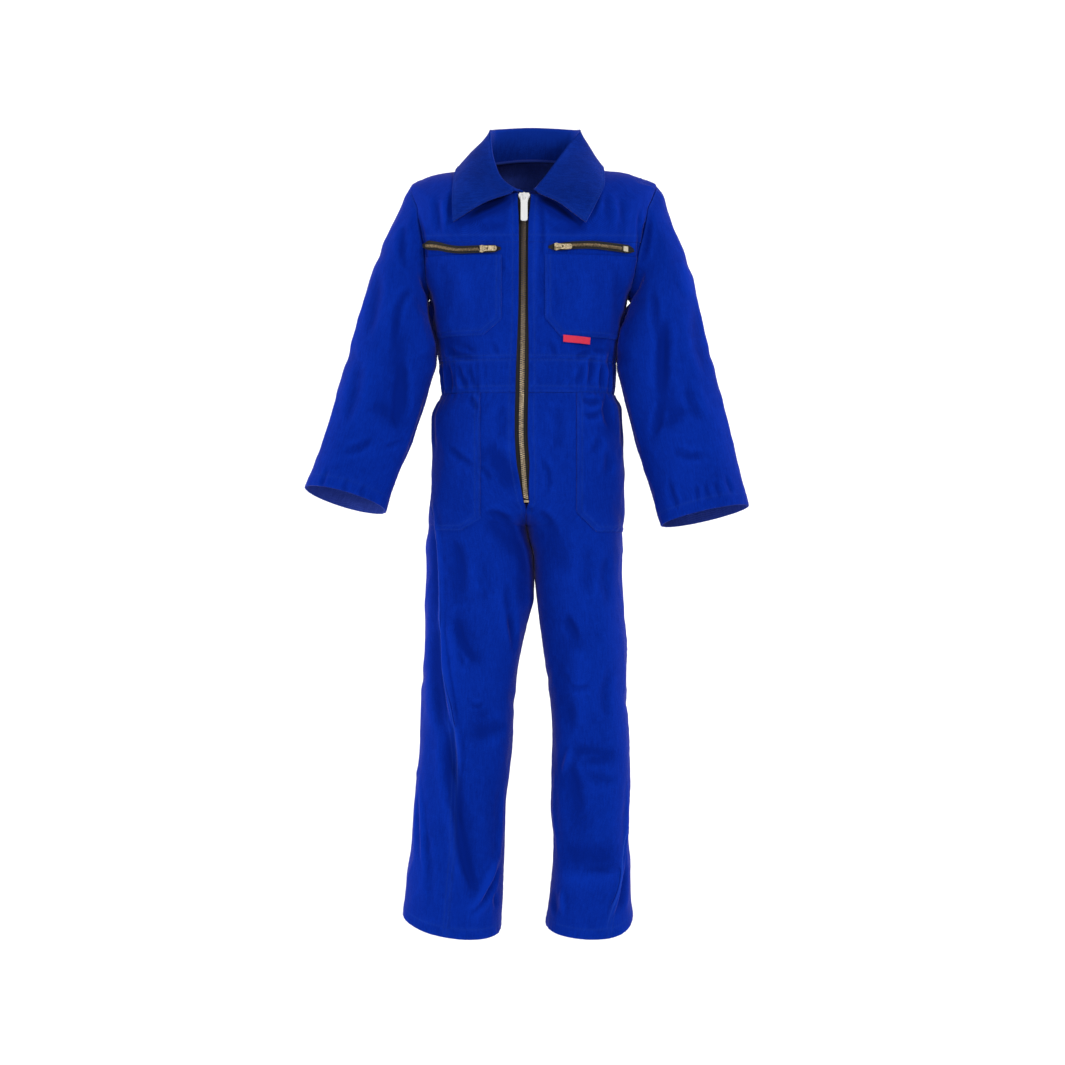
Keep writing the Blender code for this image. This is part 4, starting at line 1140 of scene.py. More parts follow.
SEAM = Edge()
FLAT = Edge(dip=0.3, pucker=0.0, fade=0.0)
PLACKET = Edge(dip=0.3, stitches=(6.5,), pucker=0.2)     # beside the main zip
TO_BAND = Edge(stitches=(4.2,))


def around(top, bottom, start, end):
    """How a piece is finished on its four sides."""
    return {"top": top, "bottom": bottom, "start": start, "end": end}


def distances(base):
    """How far each point of a grid lies from its top, bottom, start and end, along the cloth."""
    down, across = run_length(base, 0), run_length(base, 1)
    gap = EDGE_STEPS[0]
    return {"top": down + gap, "bottom": down[-1:] - down + gap,
            "start": across + gap, "end": across[:, -1:] - across + gap}


def trimmed(away, finish):
    """The height that the four edges give a piece."""
    along = {"top": away["start"], "bottom": away["start"], "start": away["top"], "end": away["top"]}
    return sum(finish[name].height(away[name], along[name]) for name in away)


def new_object(name, points, faces, looks, smooth=True):
    """A mesh object in the scene, from points in millimetres."""
    mesh = bpy.data.meshes.new(name)
    mesh.from_pydata((points * MM).tolist(), [], faces)
    mesh.polygons.foreach_set("use_smooth", np.full(len(faces), smooth))
    for look in looks:
        mesh.materials.append(look)
    made = bpy.data.objects.new(name, mesh)
    bpy.context.scene.collection.objects.link(made)
    return made


def attach(made, replaced=None, body_name="garment"):
    """Ride on a body and stand in for a plain piece."""
    if replaced:
        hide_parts(replaced)
    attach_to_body(made, body_name)


def rim(line, below):
    """The faces between the outer and the inner grid along one edge."""
    return np.stack([line[1:], line[:-1], line[:-1] + below, line[1:] + below], -1)


def shell(name, outer, inner, looks, abrasion_and_highlight, fold):
    """Two grids of points closed along their rims, with its lengths of cloth as its UV map."""
    rows, columns = outer.shape[:2]
    below = rows * columns
    index = np.arange(below).reshape(rows, columns)
    quads = np.stack([index[:-1, :-1], index[:-1, 1:], index[1:, 1:], index[1:, :-1]], -1).reshape(-1, 4)
    rims = [rim(index[0], below), rim(index[-1, ::-1], below),
            rim(index[::-1, 0], below), rim(index[:, -1], below)]
    faces = np.concatenate([quads, quads[:, ::-1] + below, *rims])
    middle_row, middle = rows // 2, columns // 2
    side = np.cross(outer[middle_row, middle + 1] - outer[middle_row, middle],
                    outer[middle_row + 1, middle] - outer[middle_row, middle])
    if side @ (outer[middle_row, middle] - inner[middle_row, middle]) < 0:
        faces = faces[:, ::-1]
    points = np.concatenate([outer.reshape(-1, 3), inner.reshape(-1, 3)])
    made = new_object(name, points, faces.tolist(), looks)
    mesh = made.data
    down, across = run_length(outer, 0), run_length(outer, 1)
    places = np.stack([across - across[:, -1:] / 2, -down + down[-1:].mean() / 2], -1).reshape(-1, 2) * MM
    corners = np.empty(len(mesh.loops), np.int32)
    mesh.loops.foreach_get("vertex_index", corners)
    layer = mesh.uv_layers.new(name="cloth")
    layer.data.foreach_set("uv", places[corners % below].astype(np.float32).ravel())
    slots = np.zeros(len(faces), np.int32)
    slots[len(quads):2 * len(quads)] = len(looks) - 1
    mesh.polygons.foreach_set("material_index", slots)
    for title, values in (("abrasion_and_highlight", abrasion_and_highlight), ("fold", fold)):
        layer = mesh.attributes.new(title, "FLOAT", "POINT")
        layer.data.foreach_set("value", np.tile(values.ravel(), 2).astype(np.float32))
    mesh.update()
    return made


UNDER_SHADE = 6.0         # painted shade on a seam allowance, so the gap where it shows looks dark, as a depth of fold
UNDER_STEPS = 0.25, 0.75  # how far under the neighbour its two faces end
ALLOWANCE = 3.5           # how far it reaches
NECK_ALLOWANCE = 4.0      # and where it is sewn to a collar or an armhole
SLEEVE_ALLOWANCE = 3.0    # and under a sleeve
NECK_CALM = 14.0          # from the neck seam, smooth under the collar at the sides, to whole folds


def underlap(grids, edge, reach, direction=None, darker=UNDER_SHADE):
    """Carry a piece on past one edge as its seam allowance, inside the suit and under its neighbour."""
    axis, turn = (0 if edge in ("top", "bottom") else 1), (1 if edge in ("top", "start") else -1)
    outer, inner, outward, abrasion_and_highlight, fold = (np.moveaxis(grid, axis, 0)[::turn] for grid in grids)
    if direction is None:
        direction = unit(outer[0] - outer[3])
    step = direction * np.asarray(reach, float)[..., None]
    root, normal = inner[0], outward[0]
    upper, lower = UNDER_STEPS
    above = np.stack([root + step - normal * upper, root])
    below = np.stack([root + step - normal * lower, root - normal * (lower - upper)])
    # The allowance is painted in shade and without wear, so the gap between the pieces looks dark.
    grids = (np.concatenate([above, outer]), np.concatenate([below, inner]),
             np.concatenate([outward[:1], outward[:1], outward]),
             np.concatenate([0 * abrasion_and_highlight[:1], 0 * abrasion_and_highlight[:1], abrasion_and_highlight]),
             np.concatenate([fold[:1] - darker, fold[:1] - darker, fold]))
    return tuple(np.moveaxis(grid[::turn], 0, axis) for grid in grids)


EDGE_WEAR = 1.3           # how far the paleness along an edge reaches, from wear and from painted highlight
STITCH_WEAR = 0.12        # how worn the cloth is along a row of stitches


def edge_paleness(away, finish):
    """How pale each point is painted, most along the edges of the seams and folds: wear, and on the ridge of
    a side seam a painted highlight.
    """
    abrasion_and_highlight = np.zeros_like(away["top"])
    for name, edge in finish.items():
        fade = edge.fade(away) if callable(edge.fade) else edge.fade
        abrasion_and_highlight = np.maximum(abrasion_and_highlight, np.exp(-away[name] / EDGE_WEAR) * fade)
        for distance in edge.stitches:
            abrasion_and_highlight = np.maximum(abrasion_and_highlight, STITCH_WEAR * bell(away[name] - distance, 1.6))
    return abrasion_and_highlight


def cut_size(base):
    """Width and length of the flat piece that was cut, and its area, in metres."""
    width, length = run_length(base, 1)[:, -1].max() * MM, run_length(base, 0)[-1].max() * MM
    sides = np.cross(base[1:, 1:] - base[:-1, :-1], base[1:, :-1] - base[:-1, 1:])
    area = np.linalg.norm(sides, axis=-1).sum() / 2 * MM * MM
    return (width, length), min(area, width * length)


def declare(made, base, replaced):
    """Stand in for a plain piece of the garment, and work out the flat cloth it was cut from, which is not
    kept.
    """
    attach(made, replaced)
    flat, area = cut_size(base)


STITCHES = {}


def sew(group, path, outward, pitch=STITCH_PITCH):
    """Keep the places of the stitches along one line of points that lies on the cloth."""
    run = run_length(path, 0)
    count = int(run[-1] / pitch)
    if count < 1:
        return
    ends = np.linspace(0, run[-1], count + 1)
    middle = (ends[1:] + ends[:-1]) / 2

    def at(where, lines):
        return np.stack([np.interp(where, run, lines[:, axis]) for axis in range(3)], -1)

    half = STITCH_LENGTH / 2
    start, end = at(middle - half, path), at(middle + half, path)
    normal = at(middle, outward)
    STITCHES.setdefault(group, []).append((start, end, normal))


def line_at(grid, away, distance, axis):
    """The points of a grid at one distance from an edge, one in each row or column."""
    lines = np.moveaxis(grid, axis, 0)
    reach = np.moveaxis(away, axis, 0)
    found = []
    for points, run in zip(lines, reach):
        order = np.argsort(run)
        found.append([np.interp(distance, run[order], points[order, i]) for i in range(3)])
    return np.array(found)


def sew_edges(group, outer, outward, away, finish):
    """Stitch a piece along the lines that its edges name."""
    for name, edge in finish.items():
        axis = 1 if name in ("top", "bottom") else 0
        for distance in edge.stitches:
            path = line_at(outer, away[name], distance, axis)
            sew(group, path[1:-1], line_at(outward, away[name], distance, axis)[1:-1])


def dress(node, grids, away, finish, look, group, under=None):
    """Make a sewn piece from its base, outward directions, form and thickness, and stitch it."""
    base, outward, (height, shade), thick = grids
    outer = base + outward * (height + trimmed(away, finish))[..., None]
    inner = base + outward * (height - thick)[..., None]
    sew_edges(group, outer, outward, away, finish)
    grids = outer, inner, outward, edge_paleness(away, finish), shade
    for edge, allowance in (under or {}).items():
        grids = underlap(grids, edge, *allowance)
    outer, inner, outward, abrasion_and_highlight, fold = grids
    made = shell(f"{node}_cloth", outer, inner, look, abrasion_and_highlight, fold)
    declare(made, base, node)


def fine_panel(node, surface, part, levels, edges, finish, look, group, wall=WALL, under=None):
    """A sewn piece in fine detail, between two levels and two edges."""
    down, angle = fine_grid(surface, *levels, edges)
    base, outward = surface(down, angle), normals(surface, down, angle)
    height, shade = form_height(base, outward, part)
    calm = 1 - (1 - ease((down - ZIP_TOP) / NECK_CALM)) * ease((outward[..., 1] + 0.9) / 0.5)
    form = height * calm, shade * calm
    thick = np.broadcast_to(wall(down) if callable(wall) else wall, down.shape)
    dress(node, (base, outward, form, thick), distances(base), finish, look, group,
          under and under(down))


def under_neck(down):
    """A seam allowance turned up inside the collar."""
    return {"top": (NECK_ALLOWANCE, np.array([0.0, 0.0, 1.0]))}


def make_bodice(look):
    for side, word in SIDES:
        edges = zip_edge(side, body_angle), front_edge(side)
        yoke = around(FLAT, Edge(lift=0.45, wide=9.5, stitches=(8.0,)), PLACKET, Edge(dip=0.2))
        fine_panel(f"front_yoke_{word}", body, "trunk", (ZIP_TOP, YOKE_SEAM), edges, yoke, look,
                   "upper", under=under_neck)
        fine_panel(f"front_{word}", body, "trunk", (YOKE_SEAM, WAIST_TOP), edges,
                   around(SEAM, TO_BAND, PLACKET, SEAM), look, "upper")
    edges = back_edge, lambda down: TURN - back_edge(down)
    fine_panel("back", body, "trunk", (ZIP_TOP, WAIST_TOP), edges, around(FLAT, TO_BAND, SEAM, SEAM),
               look, "back", under=under_neck)


def make_waistband(look):
    band_top, band_bottom = Edge(stitches=(1.2,)), Edge(lift=0.3, wide=8.4, stitches=(1.7, 7.2))
    pieces = [(word, (zip_edge(side, body_angle), fixed(side * SIDE)), PLACKET) for side, word in SIDES]
    pieces.append(("back", (fixed(SIDE), fixed(TURN - SIDE)), SEAM))
    for word, edges, start in pieces:
        fine_panel(f"waistband_{word}", body, "trunk", (WAIST_TOP, WAIST_BOTTOM), edges,
                   around(band_top, band_bottom, start, SEAM), look, "waist")


def hem_wall(down):
    return WALL + (HEM_WALL - WALL) * ease((down - LEG_HEM) / 2)


def below_the_zip(down):
    """A seam allowance on the centre edge of a front, where the zip has ended."""
    return {"start": (ALLOWANCE * ease((down[:, 0] - ZIP_END) / 5), None)}


def under_fronts(down):
    """A back's seam allowances, under the front at the side and under the other leg's back."""
    return {"start": (ALLOWANCE, None), "end": (ALLOWANCE, None)}


def make_trousers(look):
    hem = Edge(dip=0.3, lift=0.4, wide=13.0, stitches=(11.8,), pucker=0.35)
    felled = Edge(dip=0.5, lift=0.5, wide=7.0, stitches=(1.8, 6.2), pucker=0.35)
    above_shin = {-1: 150.0, 1: 0.0}      # how far above the hem the painted highlight on the ridge of the side seam stops

    # The ridge of the side seam is painted pale: a little wear all along, and a painted highlight above that
    # height.
    def ridge_highlight(side):
        return lambda away: 0.1 + 0.65 * ease((away["bottom"] - above_shin[side]) / 45)

    for side, word in SIDES:
        ridge = Edge(dip=0.1, lift=0.3, wide=2.6, pucker=0.35, fade=ridge_highlight(side))
        centre, seam, back = centre_edge(side), side_seam(side), back_centre_edge(side)
        levels = WAIST_BOTTOM, HEM
        fine_panel(f"trouser_front_{word}", leg(side), "trunk", levels, (centre, seam),
                   around(SEAM, hem, PLACKET, ridge), look, "trousers_front", hem_wall, below_the_zip)
        fine_panel(f"trouser_back_{word}", leg(side), "trunk", levels, (seam, back),
                   around(SEAM, hem, felled, SEAM), look, "trousers_back", hem_wall, under_fronts)


SLEEVE_START = 0.4        # from the armhole's line to the sleeve
CAP_SHADE = 1.0           # how much painted shade its seam allowance gets


def make_sleeves(look):
    cap = Edge(dip=0.2, stitches=(2.0,), pucker=0.45)
    cuff = Edge(dip=0.3, lift=0.4, wide=CUFF + 1.8, stitches=(CUFF,), pucker=0.4)
    for side, word in SIDES:
        surface, last = sleeve(side), SLEEVES[side]["along"][-1]
        along, turn = fine_grid(surface, SLEEVE_START, last, (fixed(math.pi), fixed(math.pi + TURN)))
        base = surface(along, turn)
        outward = normals(surface, along, turn, -side)
        square = armhole_outward(side, base[0])
        near = ease((along[..., None] - SLEEVE_START) / 8)
        outward = unit(outward * near + square * (1 - near))
        finish = around(cap, cuff, SEAM, SEAM)
        away = distances(base)
        form = form_height(base, outward, "sleeve")
        thick = WALL + (HEM_WALL - WALL) * ease((CUFF - away["bottom"]) / 2 + 1)
        under = {"top": (NECK_ALLOWANCE, np.array([-side, 0.0, 0.0]), CAP_SHADE),
                 "end": (SLEEVE_ALLOWANCE, None)}
        dress(f"sleeve_{word}", (base, outward, form, thick), away, finish, look, "sleeves", under)


COLLAR_KICK = 3.0         # how far the collar's points stand off the chest


def make_collar(look):
    edge = Edge(dip=0.25, lift=0.3, wide=4.6, stitches=(3.5,), pucker=0.25)
    finish = around(Edge(dip=0.1, pucker=0.0, fade=0.0), edge, edge, edge)
    coarse = collar_middle(np.linspace(0, 10, 81), np.linspace(0, 1, 61))
    across = run_length(coarse[:, -1:], 0)[:, 0]
    down = run_length(coarse, 1).max(0)
    station = np.interp(stations(across[-1], between_count(across[-1])), across, np.linspace(0, 10, 81))
    share = np.interp(stations(down[-1], between_count(down[-1])), down, np.linspace(0, 1, 61))
    base = collar_middle(station, share).transpose(1, 0, 2)
    outward = unit(np.cross(np.gradient(base, axis=0), np.gradient(base, axis=1)))
    away = distances(base)
    points_up = ease((share - 0.6) / 0.4)[:, None] * ease((np.abs(station - 5) - 3) / 1.5)
    base = base + np.array([0.0, -1.0, 0.0]) * (COLLAR_KICK * points_up)[..., None]
    soft = 0.5 * noise(base, 30, 21.0) + 0.15 * noise(base, 10, 22.0)
    trim = trimmed(away, finish)
    outer = base + outward * (COLLAR_WALL / 2 + soft + trim)[..., None]
    inner = base - outward * (COLLAR_WALL / 2 - soft + trim)[..., None]
    # Painted light and shade inside the neck: the stand is painted lighter near the roll and darker down to
    # its foot.
    stand = ease((0.46 - share) / 0.04) * (4 - 6 * ease((0.4 - share) / 0.4))
    shade = 2 * soft + stand[:, None]
    made = shell("collar_cloth", outer, inner, look, edge_paleness(away, finish), shade)
    declare(made, base, "collar")
    sew_edges("upper", outer, outward, away, finish)


SEWN_GAP = 0.12           # under a pocket where it is stitched down
PATCH_RISE = 13.0         # how far inside its free edge it stands off fully


def pocket_outline(side, shape, top):
    """The free edge of a patch pocket in x and down: its inner edge, cut corner and bottom."""
    far = side * 150.0
    return np.array([[shape["inner"], top], [shape["inner"], shape["chamfer"]],
                     [shape["corner"], shape["bottom"]], [far, shape["bottom"]]])


def outline_away(points, corners):
    """Distance inside a run of straight lines, in x and down."""
    place = seen_flat(points)
    nearest = np.full(place.shape[:-1], np.inf)
    for start, end in zip(corners[:-1], corners[1:]):
        run = end - start
        share = np.clip((place - start) @ run / (run @ run), 0, 1)
        nearest = np.minimum(nearest, np.linalg.norm(place - start - share[..., None] * run, axis=-1))
    return nearest


def make_pocket(node, side, surface, ring_angle, shape, top, end_edge, look, flat_top):
    """A patch pocket: sewn flat along its free edge and standing a little off the panel inside it."""
    hem = Edge(dip=0.25, lift=0.2, wide=7.0, stitches=(1.3, 5.8), pucker=0.25)
    finish = {"top": Edge(dip=0.1, fade=0.0), "outline": hem, "end": Edge(dip=0.3)}
    down, angle = fine_grid(surface, top, shape["bottom"], (pocket_edge(shape, ring_angle), end_edge))
    base, outward = surface(down, angle), normals(surface, down, angle)
    edges = distances(base)
    corners = pocket_outline(side, shape, top)
    away = {"top": edges["top"], "outline": outline_away(base, corners) + EDGE_STEPS[0], "end": edges["end"]}
    along = {"top": edges["start"], "outline": base[..., 0] - base[..., 2], "end": edges["top"]}
    form, shade = form_height(base, outward, "trunk")
    sewn = PATCH_WALL + SEWN_GAP
    inside = np.minimum(away["outline"], away["end"])
    if flat_top:
        inside = np.minimum(inside, away["top"])
    raised = sewn + (PATCH_LIFT - sewn) * ease(inside / PATCH_RISE)
    trim = sum(finish[name].height(away[name], along[name]) for name in away)
    outer = base + outward * (form + raised + trim)[..., None]
    inner = base + outward * (form + raised - PATCH_WALL)[..., None]
    made = shell(f"{node}_cloth", outer, inner, look, edge_paleness(away, finish), shade)
    declare(made, base, node)
    for distance in hem.stitches:
        sew_outline(outer, outward, base, corners, distance, side)


def sew_outline(outer, outward, base, corners, distance, side):
    """Stitch along a pocket's free edge, at one distance inside it."""
    directions = unit(np.diff(corners, axis=0))
    inside = np.stack([directions[:, 1], -directions[:, 0]], -1) * side
    moved = [corners[0] + inside[0] * distance]
    for i in (1, 2):
        bisector = inside[i - 1] + inside[i]
        moved.append(corners[i] + bisector * distance * 2 / (bisector @ bisector))
    moved.append(corners[3] + inside[2] * distance)
    places = seen_flat(base).reshape(-1, 2)
    for start, end in zip(moved[:-1], moved[1:]):
        length = np.linalg.norm(end - start)
        path, normal = [], []
        for share in np.linspace(0, 1, max(2, int(length / 1.2))):
            wanted = start + (end - start) * share
            apart = np.linalg.norm(places - wanted, axis=1)
            near = np.argsort(apart)[:4]
            if apart[near[0]] > 2.6:
                continue
            weight = 1 / (apart[near] + 0.05) ** 2
            weight /= weight.sum()
            path.append(weight @ outer.reshape(-1, 3)[near])
            normal.append(weight @ outward.reshape(-1, 3)[near])
        if len(path) > 2:
            sew("pockets", np.array(path), np.array(normal))


def make_pockets(look):
    for side, word in SIDES:
        make_pocket(f"chest_pocket_{word}", side, body, body_angle, CHEST_POCKETS[side], CHEST_POCKET_TOP,
                    front_edge(side, POCKET_INSET, POCKET_SIDE), look, flat_top=False)
        make_pocket(f"hip_pocket_{word}", side, leg(side), partial(leg_angle, side), HIP_POCKETS[side],
                    HIP_POCKET_TOP, side_seam(side, POCKET_INSET), look, flat_top=True)


# A stitch as four rings from end to end: where each lies, its size and how far it stands up.
STITCH_RINGS = table("""
    along wide up
    -1.0 0.45 -0.2
    -0.62 1.0 0.06
    0.62 1.0 0.06
    1.0 0.45 -0.2
""")
STITCH_SIDES = 5


def make_stitches(look):
    """All the stitches as short threads with dipped ends, one object for each group."""
    turns = np.linspace(0, TURN, STITCH_SIDES, endpoint=False)[:, None]
    rings = len(STITCH_RINGS["along"])
    around = np.arange(STITCH_SIDES)
    for group, runs in STITCHES.items():
        start, end, normal = (np.concatenate([run[i] for run in runs]) for i in range(3))
        centre, half = (start + end) / 2, (end - start) / 2
        tangent = unit(half)
        side = unit(np.cross(tangent, normal))
        up = np.cross(side, tangent)
        circle = side[:, None] * np.cos(turns) + up[:, None] * np.sin(turns)
        points = [(centre + half * along + up * lift)[:, None] + circle * THREAD * wide
                  for along, wide, lift in zip(*STITCH_RINGS.values())]
        quads = []
        for first in range(0, (rings - 1) * STITCH_SIDES, STITCH_SIDES):
            a, b = first + around, first + (around + 1) % STITCH_SIDES
            quads.append(np.stack([a, b, b + STITCH_SIDES, a + STITCH_SIDES], -1))
        quads = np.concatenate(quads)
        caps = np.stack([around[::-1], around + (rings - 1) * STITCH_SIDES])
        first = (np.arange(len(centre)) * rings * STITCH_SIDES)[:, None, None]
        faces = (quads[None] + first).reshape(-1, 4).tolist()
        faces += (caps[None] + first).reshape(-1, STITCH_SIDES).tolist()
        made = new_object(f"stitches_{group}", np.stack(points, 1).reshape(-1, 3), faces, [look])
        attach(made)


# ---------------------------------------------------------------- zips, label
TOOTH_PITCH = 2.45
TOOTH = [(2.6, -0.6), (1.15, -0.8), (0.85, -0.5), (-0.55, -0.5), (-0.55, 0.5), (0.85, 0.5), (1.15, 0.8),
         (2.6, 0.6)]
TOOTH_BEVEL = 0.16
TOOTH_CROWN = 0.06        # how fast a tooth drops towards the tape
CHEST_TOOTH = 0.68        # a tooth of the pocket zips against one of the main zip


def tooth_shape(thickness):
    """One tooth of a metal zip as points and faces."""
    made = bmesh.new()
    face = made.faces.new([made.verts.new((x, y, -thickness / 2)) for x, y in TOOTH])
    top = bmesh.ops.extrude_face_region(made, geom=[face])["geom"]
    moved = [item for item in top if isinstance(item, bmesh.types.BMVert)]
    bmesh.ops.translate(made, vec=(0, 0, thickness), verts=moved)
    bmesh.ops.recalc_face_normals(made, faces=made.faces[:])
    bmesh.ops.bevel(made, geom=made.edges[:] + made.verts[:], offset=TOOTH_BEVEL, segments=1,
                    affect="EDGES")
    made.verts.index_update()
    points = np.array([vert.co[:] for vert in made.verts])
    faces = [[vert.index for vert in face.verts] for face in made.faces]
    made.free()
    points[:, 2] -= TOOTH_CROWN * np.maximum(points[:, 0], 0) ** 2
    return points, faces


def make_teeth(name, node, centre, across, along, out, size, thickness, look):
    """Two rows of teeth that mesh along a line of frames, pitched by turns."""
    points, faces = tooth_shape(thickness)
    vertices, all_faces = [], []
    for side, start in ((-1, 0), (1, 1)):
        place = points * [side * size, size, 1]
        for i in range(start, len(centre), 2):
            base = sum(len(part) for part in vertices)
            vertices.append(centre[i] + place @ np.stack([across[i], along[i], out[i]]))
            all_faces += [[base + v for v in (face if side > 0 else face[::-1])] for face in faces]
    made = new_object(name, np.concatenate(vertices), all_faces, [look], smooth=False)
    attach(made, node)


def make_main_teeth(look):
    dense = np.linspace(SLIDER_TOP + SLIDER_LENGTH + 1.2, ZIP_END - 5.4, 300)
    run = run_length(centre_point(dense), 0)
    down = np.interp(np.arange(0.4, run[-1], TOOTH_PITCH / 2), run, dense)
    centre = centre_point(down)
    along = unit(centre_point(down + 2) - centre_point(down - 2))
    across = np.tile([1.0, 0, 0], (len(down), 1))
    out = unit(np.cross(along, across))
    out *= np.sign(-out[:, 1:2])
    centre = centre - out * (CHAIN_DEPTH + CHAIN_WALL / 2)
    make_teeth("zip_teeth", "zip_chain", centre, across, along, out, 1.0, CHAIN_WALL - 0.1, look)


def make_chest_teeth(look):
    for side, word in SIDES:
        start, end = CHEST_CHAIN[side]
        dense = np.linspace(start + 0.6, end - 0.6, 200)

        def place(x, side=side):
            return on_chest(x, chest_line(side, x))

        run = run_length(place(dense)[0], 0)
        x = np.interp(np.arange(0.3, run[-1], TOOTH_PITCH * CHEST_TOOTH / 2), run, dense)
        points, out = place(x)
        along = unit(place(x + 1)[0] - place(x - 1)[0])
        across = unit(np.cross(along, out))
        centre = points + out * (CHEST_CHAIN_LIFT - CHEST_CHAIN_WALL / 2)
        make_teeth(f"chest_teeth_{word}", f"chest_chain_{word}", centre, across, along, out, CHEST_TOOTH,
                   CHEST_CHAIN_WALL - 0.1, look)


def fine_strip(name, node, base, outward, lift, wall, look):
    """A narrow woven piece at some height over the suit's face."""
    plain = np.zeros(base.shape[:2])
    made = shell(name, base + outward * lift, base + outward * (lift - wall), [look], plain, plain)
    attach(made, node)


def make_tapes(look):
    rows = np.linspace(ZIP_TOP + 1, ZIP_END - 1, 130)
    for side, word in SIDES:
        offsets = np.linspace(side * (CHAIN_HALF - 0.9), side * TAPE_HALF, 12)
        base = centre_point(rows)[:, None, :] + offsets[:, None] * np.array([1.0, 0, 0])
        outward = np.broadcast_to([0.0, -1.0, 0.0], base.shape)
        cord = 0.55 * bell(np.abs(offsets) - CHAIN_HALF - 0.2, 0.7)
        fine_strip(f"zip_tape_{word}_weave", f"zip_tape_{word}", base, outward,
                   (cord - TAPE_DEPTH)[None, :, None], TAPE_WALL, look)
        start, end = CHEST_TAPE[side]
        x = np.linspace(start, end, 60)[None, :]
        half = CHEST_TAPE_SHOWN * (0.3 + 0.7 * ease((np.minimum(x - start, end - x) + 1) / 9))
        base, outward = on_chest(x, chest_line(side, x) + half * np.linspace(-1, 1, 14)[:, None])
        fine_strip(f"chest_tape_{word}_weave", f"chest_tape_{word}", base, outward, CHEST_TAPE_LIFT,
                   TAPE_WALL, look)


def make_label(look):
    start, end = LABEL["x"]
    x = np.linspace(start, end, 40)[None, :]
    half = LABEL["height"] / 2
    level = LABEL["top"] + half + LABEL["tilt"] * (x - start) / (end - start)
    base, outward = on_chest(x, level + np.linspace(-half, half, 16)[:, None])
    away = distances(base)
    lift = PATCH_LIFT + SEAM_GAP + LABEL_WALL
    nearest = np.minimum.reduce([away[name] for name in away])
    lift = lift + form_height(base, outward, "trunk")[0] - 0.35 * np.exp(-nearest / 0.9)
    fine_strip("label_weave", "label", base, outward, lift[..., None], LABEL_WALL, look)


POLISH_SEGMENTS = 3
POLISH_ANGLE = math.radians(35)   # edges sharper than this are rounded


def polish(node, name, look, round_edge, body_name="garment"):
    """A CAD piece of metal with rounded edges."""
    source = bpy.data.objects[node]
    made = bpy.data.objects.new(name, source.data.copy())
    made.matrix_world = source.matrix_world
    bpy.context.scene.collection.objects.link(made)
    made.data.materials.clear()
    made.data.materials.append(look)
    bevel = made.modifiers.new("round", "BEVEL")
    bevel.width = round_edge * MM
    bevel.segments = POLISH_SEGMENTS
    bevel.limit_method = "ANGLE"
    bevel.angle_limit = POLISH_ANGLE
    bevel.harden_normals = True
    attach(made, node, body_name)


def make_metal(nickel, cream, brass, pale):
    polish("zip_slider", "zip_slider_round", nickel, 0.3)
    polish("pull_main", "pull_main_round", nickel, 0.28, "main_pull")
    polish("zip_stop", "zip_stop_round", brass, 0.3)
    polish("chest_stop_left", "chest_stop_round", cream, 0.3)
    for _, word in SIDES:
        polish(f"chest_slider_{word}", f"chest_slider_{word}_round", pale, 0.22)
        polish(f"pull_chest_{word}", f"pull_chest_{word}_round", pale, 0.22, f"{word}_chest_pull")


# ---------------------------------------------------------------- materials
class Finish:
    """A material. Each method adds a node to it and gives the node's output."""

    def __init__(self, name):
        self.material = bpy.data.materials.new(name)
        self.material.use_nodes = True
        self.tree = self.material.node_tree

    def set(self, socket, value):
        """Give a socket a number, a colour or another node's output."""
        if isinstance(value, bpy.types.NodeSocket):
            self.tree.links.new(value, socket)
        elif isinstance(value, tuple) and socket.type == "RGBA":
            socket.default_value = (*value, 1)
        else:
            socket.default_value = value

    def add(self, kind, inputs, output=0, **settings):
        made = self.tree.nodes.new("ShaderNode" + kind)
        for name, value in settings.items():
            setattr(made, name, value)
        for name, value in inputs.items():
            self.set(made.inputs[name], value)
        return made.outputs[output]

    def total(self, *parts):
        """The sum of some values, each given with its weight."""
        found = None
        for value, weight in parts:
            term = self.add("Math", {0: value, 1: weight}, operation="MULTIPLY")
            found = term if found is None else self.add("Math", {0: found, 1: term}, operation="ADD")
        return found

    def mix(self, share, a, b):
        return self.add("Mix", {"Factor": share, 6: a, 7: b}, 2, data_type="RGBA")

    def object_place(self):
        return self.add("TexCoord", {}, "Object")

    def cloth_place(self, across, down):
        """Places on the cloth in millimetres times a scale, from its UV map."""
        uv = self.add("UVMap", {}, uv_map="cloth")
        return self.add("Mapping", {"Vector": uv, "Scale": (across / MM, down / MM, 1)})

    def painted(self, attribute):
        """A value kept at the points of the mesh."""
        return self.add("Attribute", {}, "Fac", attribute_name=attribute)

    def noise(self, place, scale, detail, rough=0.5):
        inputs = {"Vector": place, "Scale": scale, "Detail": detail, "Roughness": rough}
        return self.add("TexNoise", inputs, "Fac")

    def stripes(self, place, scale, direction="DIAGONAL", **inputs):
        inputs = {"Vector": place, "Scale": scale, **inputs}
        return self.add("TexWave", inputs, "Fac", wave_type="BANDS", bands_direction=direction)

    def spread(self, value, start, end, low=0.0, high=1.0):
        """A value that goes from low to high as another goes from start to end."""
        inputs = {"Value": value, "From Min": start, "From Max": end, "To Min": low, "To Max": high}
        return self.add("MapRange", inputs, clamp=True)

    def bump(self, height, strength, depth, under=None):
        """Bumps of a depth in millimetres, laid over others where those are given."""
        inputs = {"Height": height, "Strength": strength, "Distance": depth * MM}
        if under:
            inputs["Normal"] = under
        return self.add("Bump", inputs)

    def done(self, **sockets):
        """Give the shader its sockets, named with _ for each space, and hand over the material."""
        shader = self.tree.nodes["Principled BSDF"]
        for name, value in sockets.items():
            self.set(shader.inputs[name.replace("_", " ")], value)
        return self.material


FOLD_DARK = -13.0, -6.5   # depths of fold between which cloth in deep shade turns to its full colour
DEEP_SHADE = (0.0, 0.001, 0.01)
SHEEN = (0.65, 0.52, 0.62)


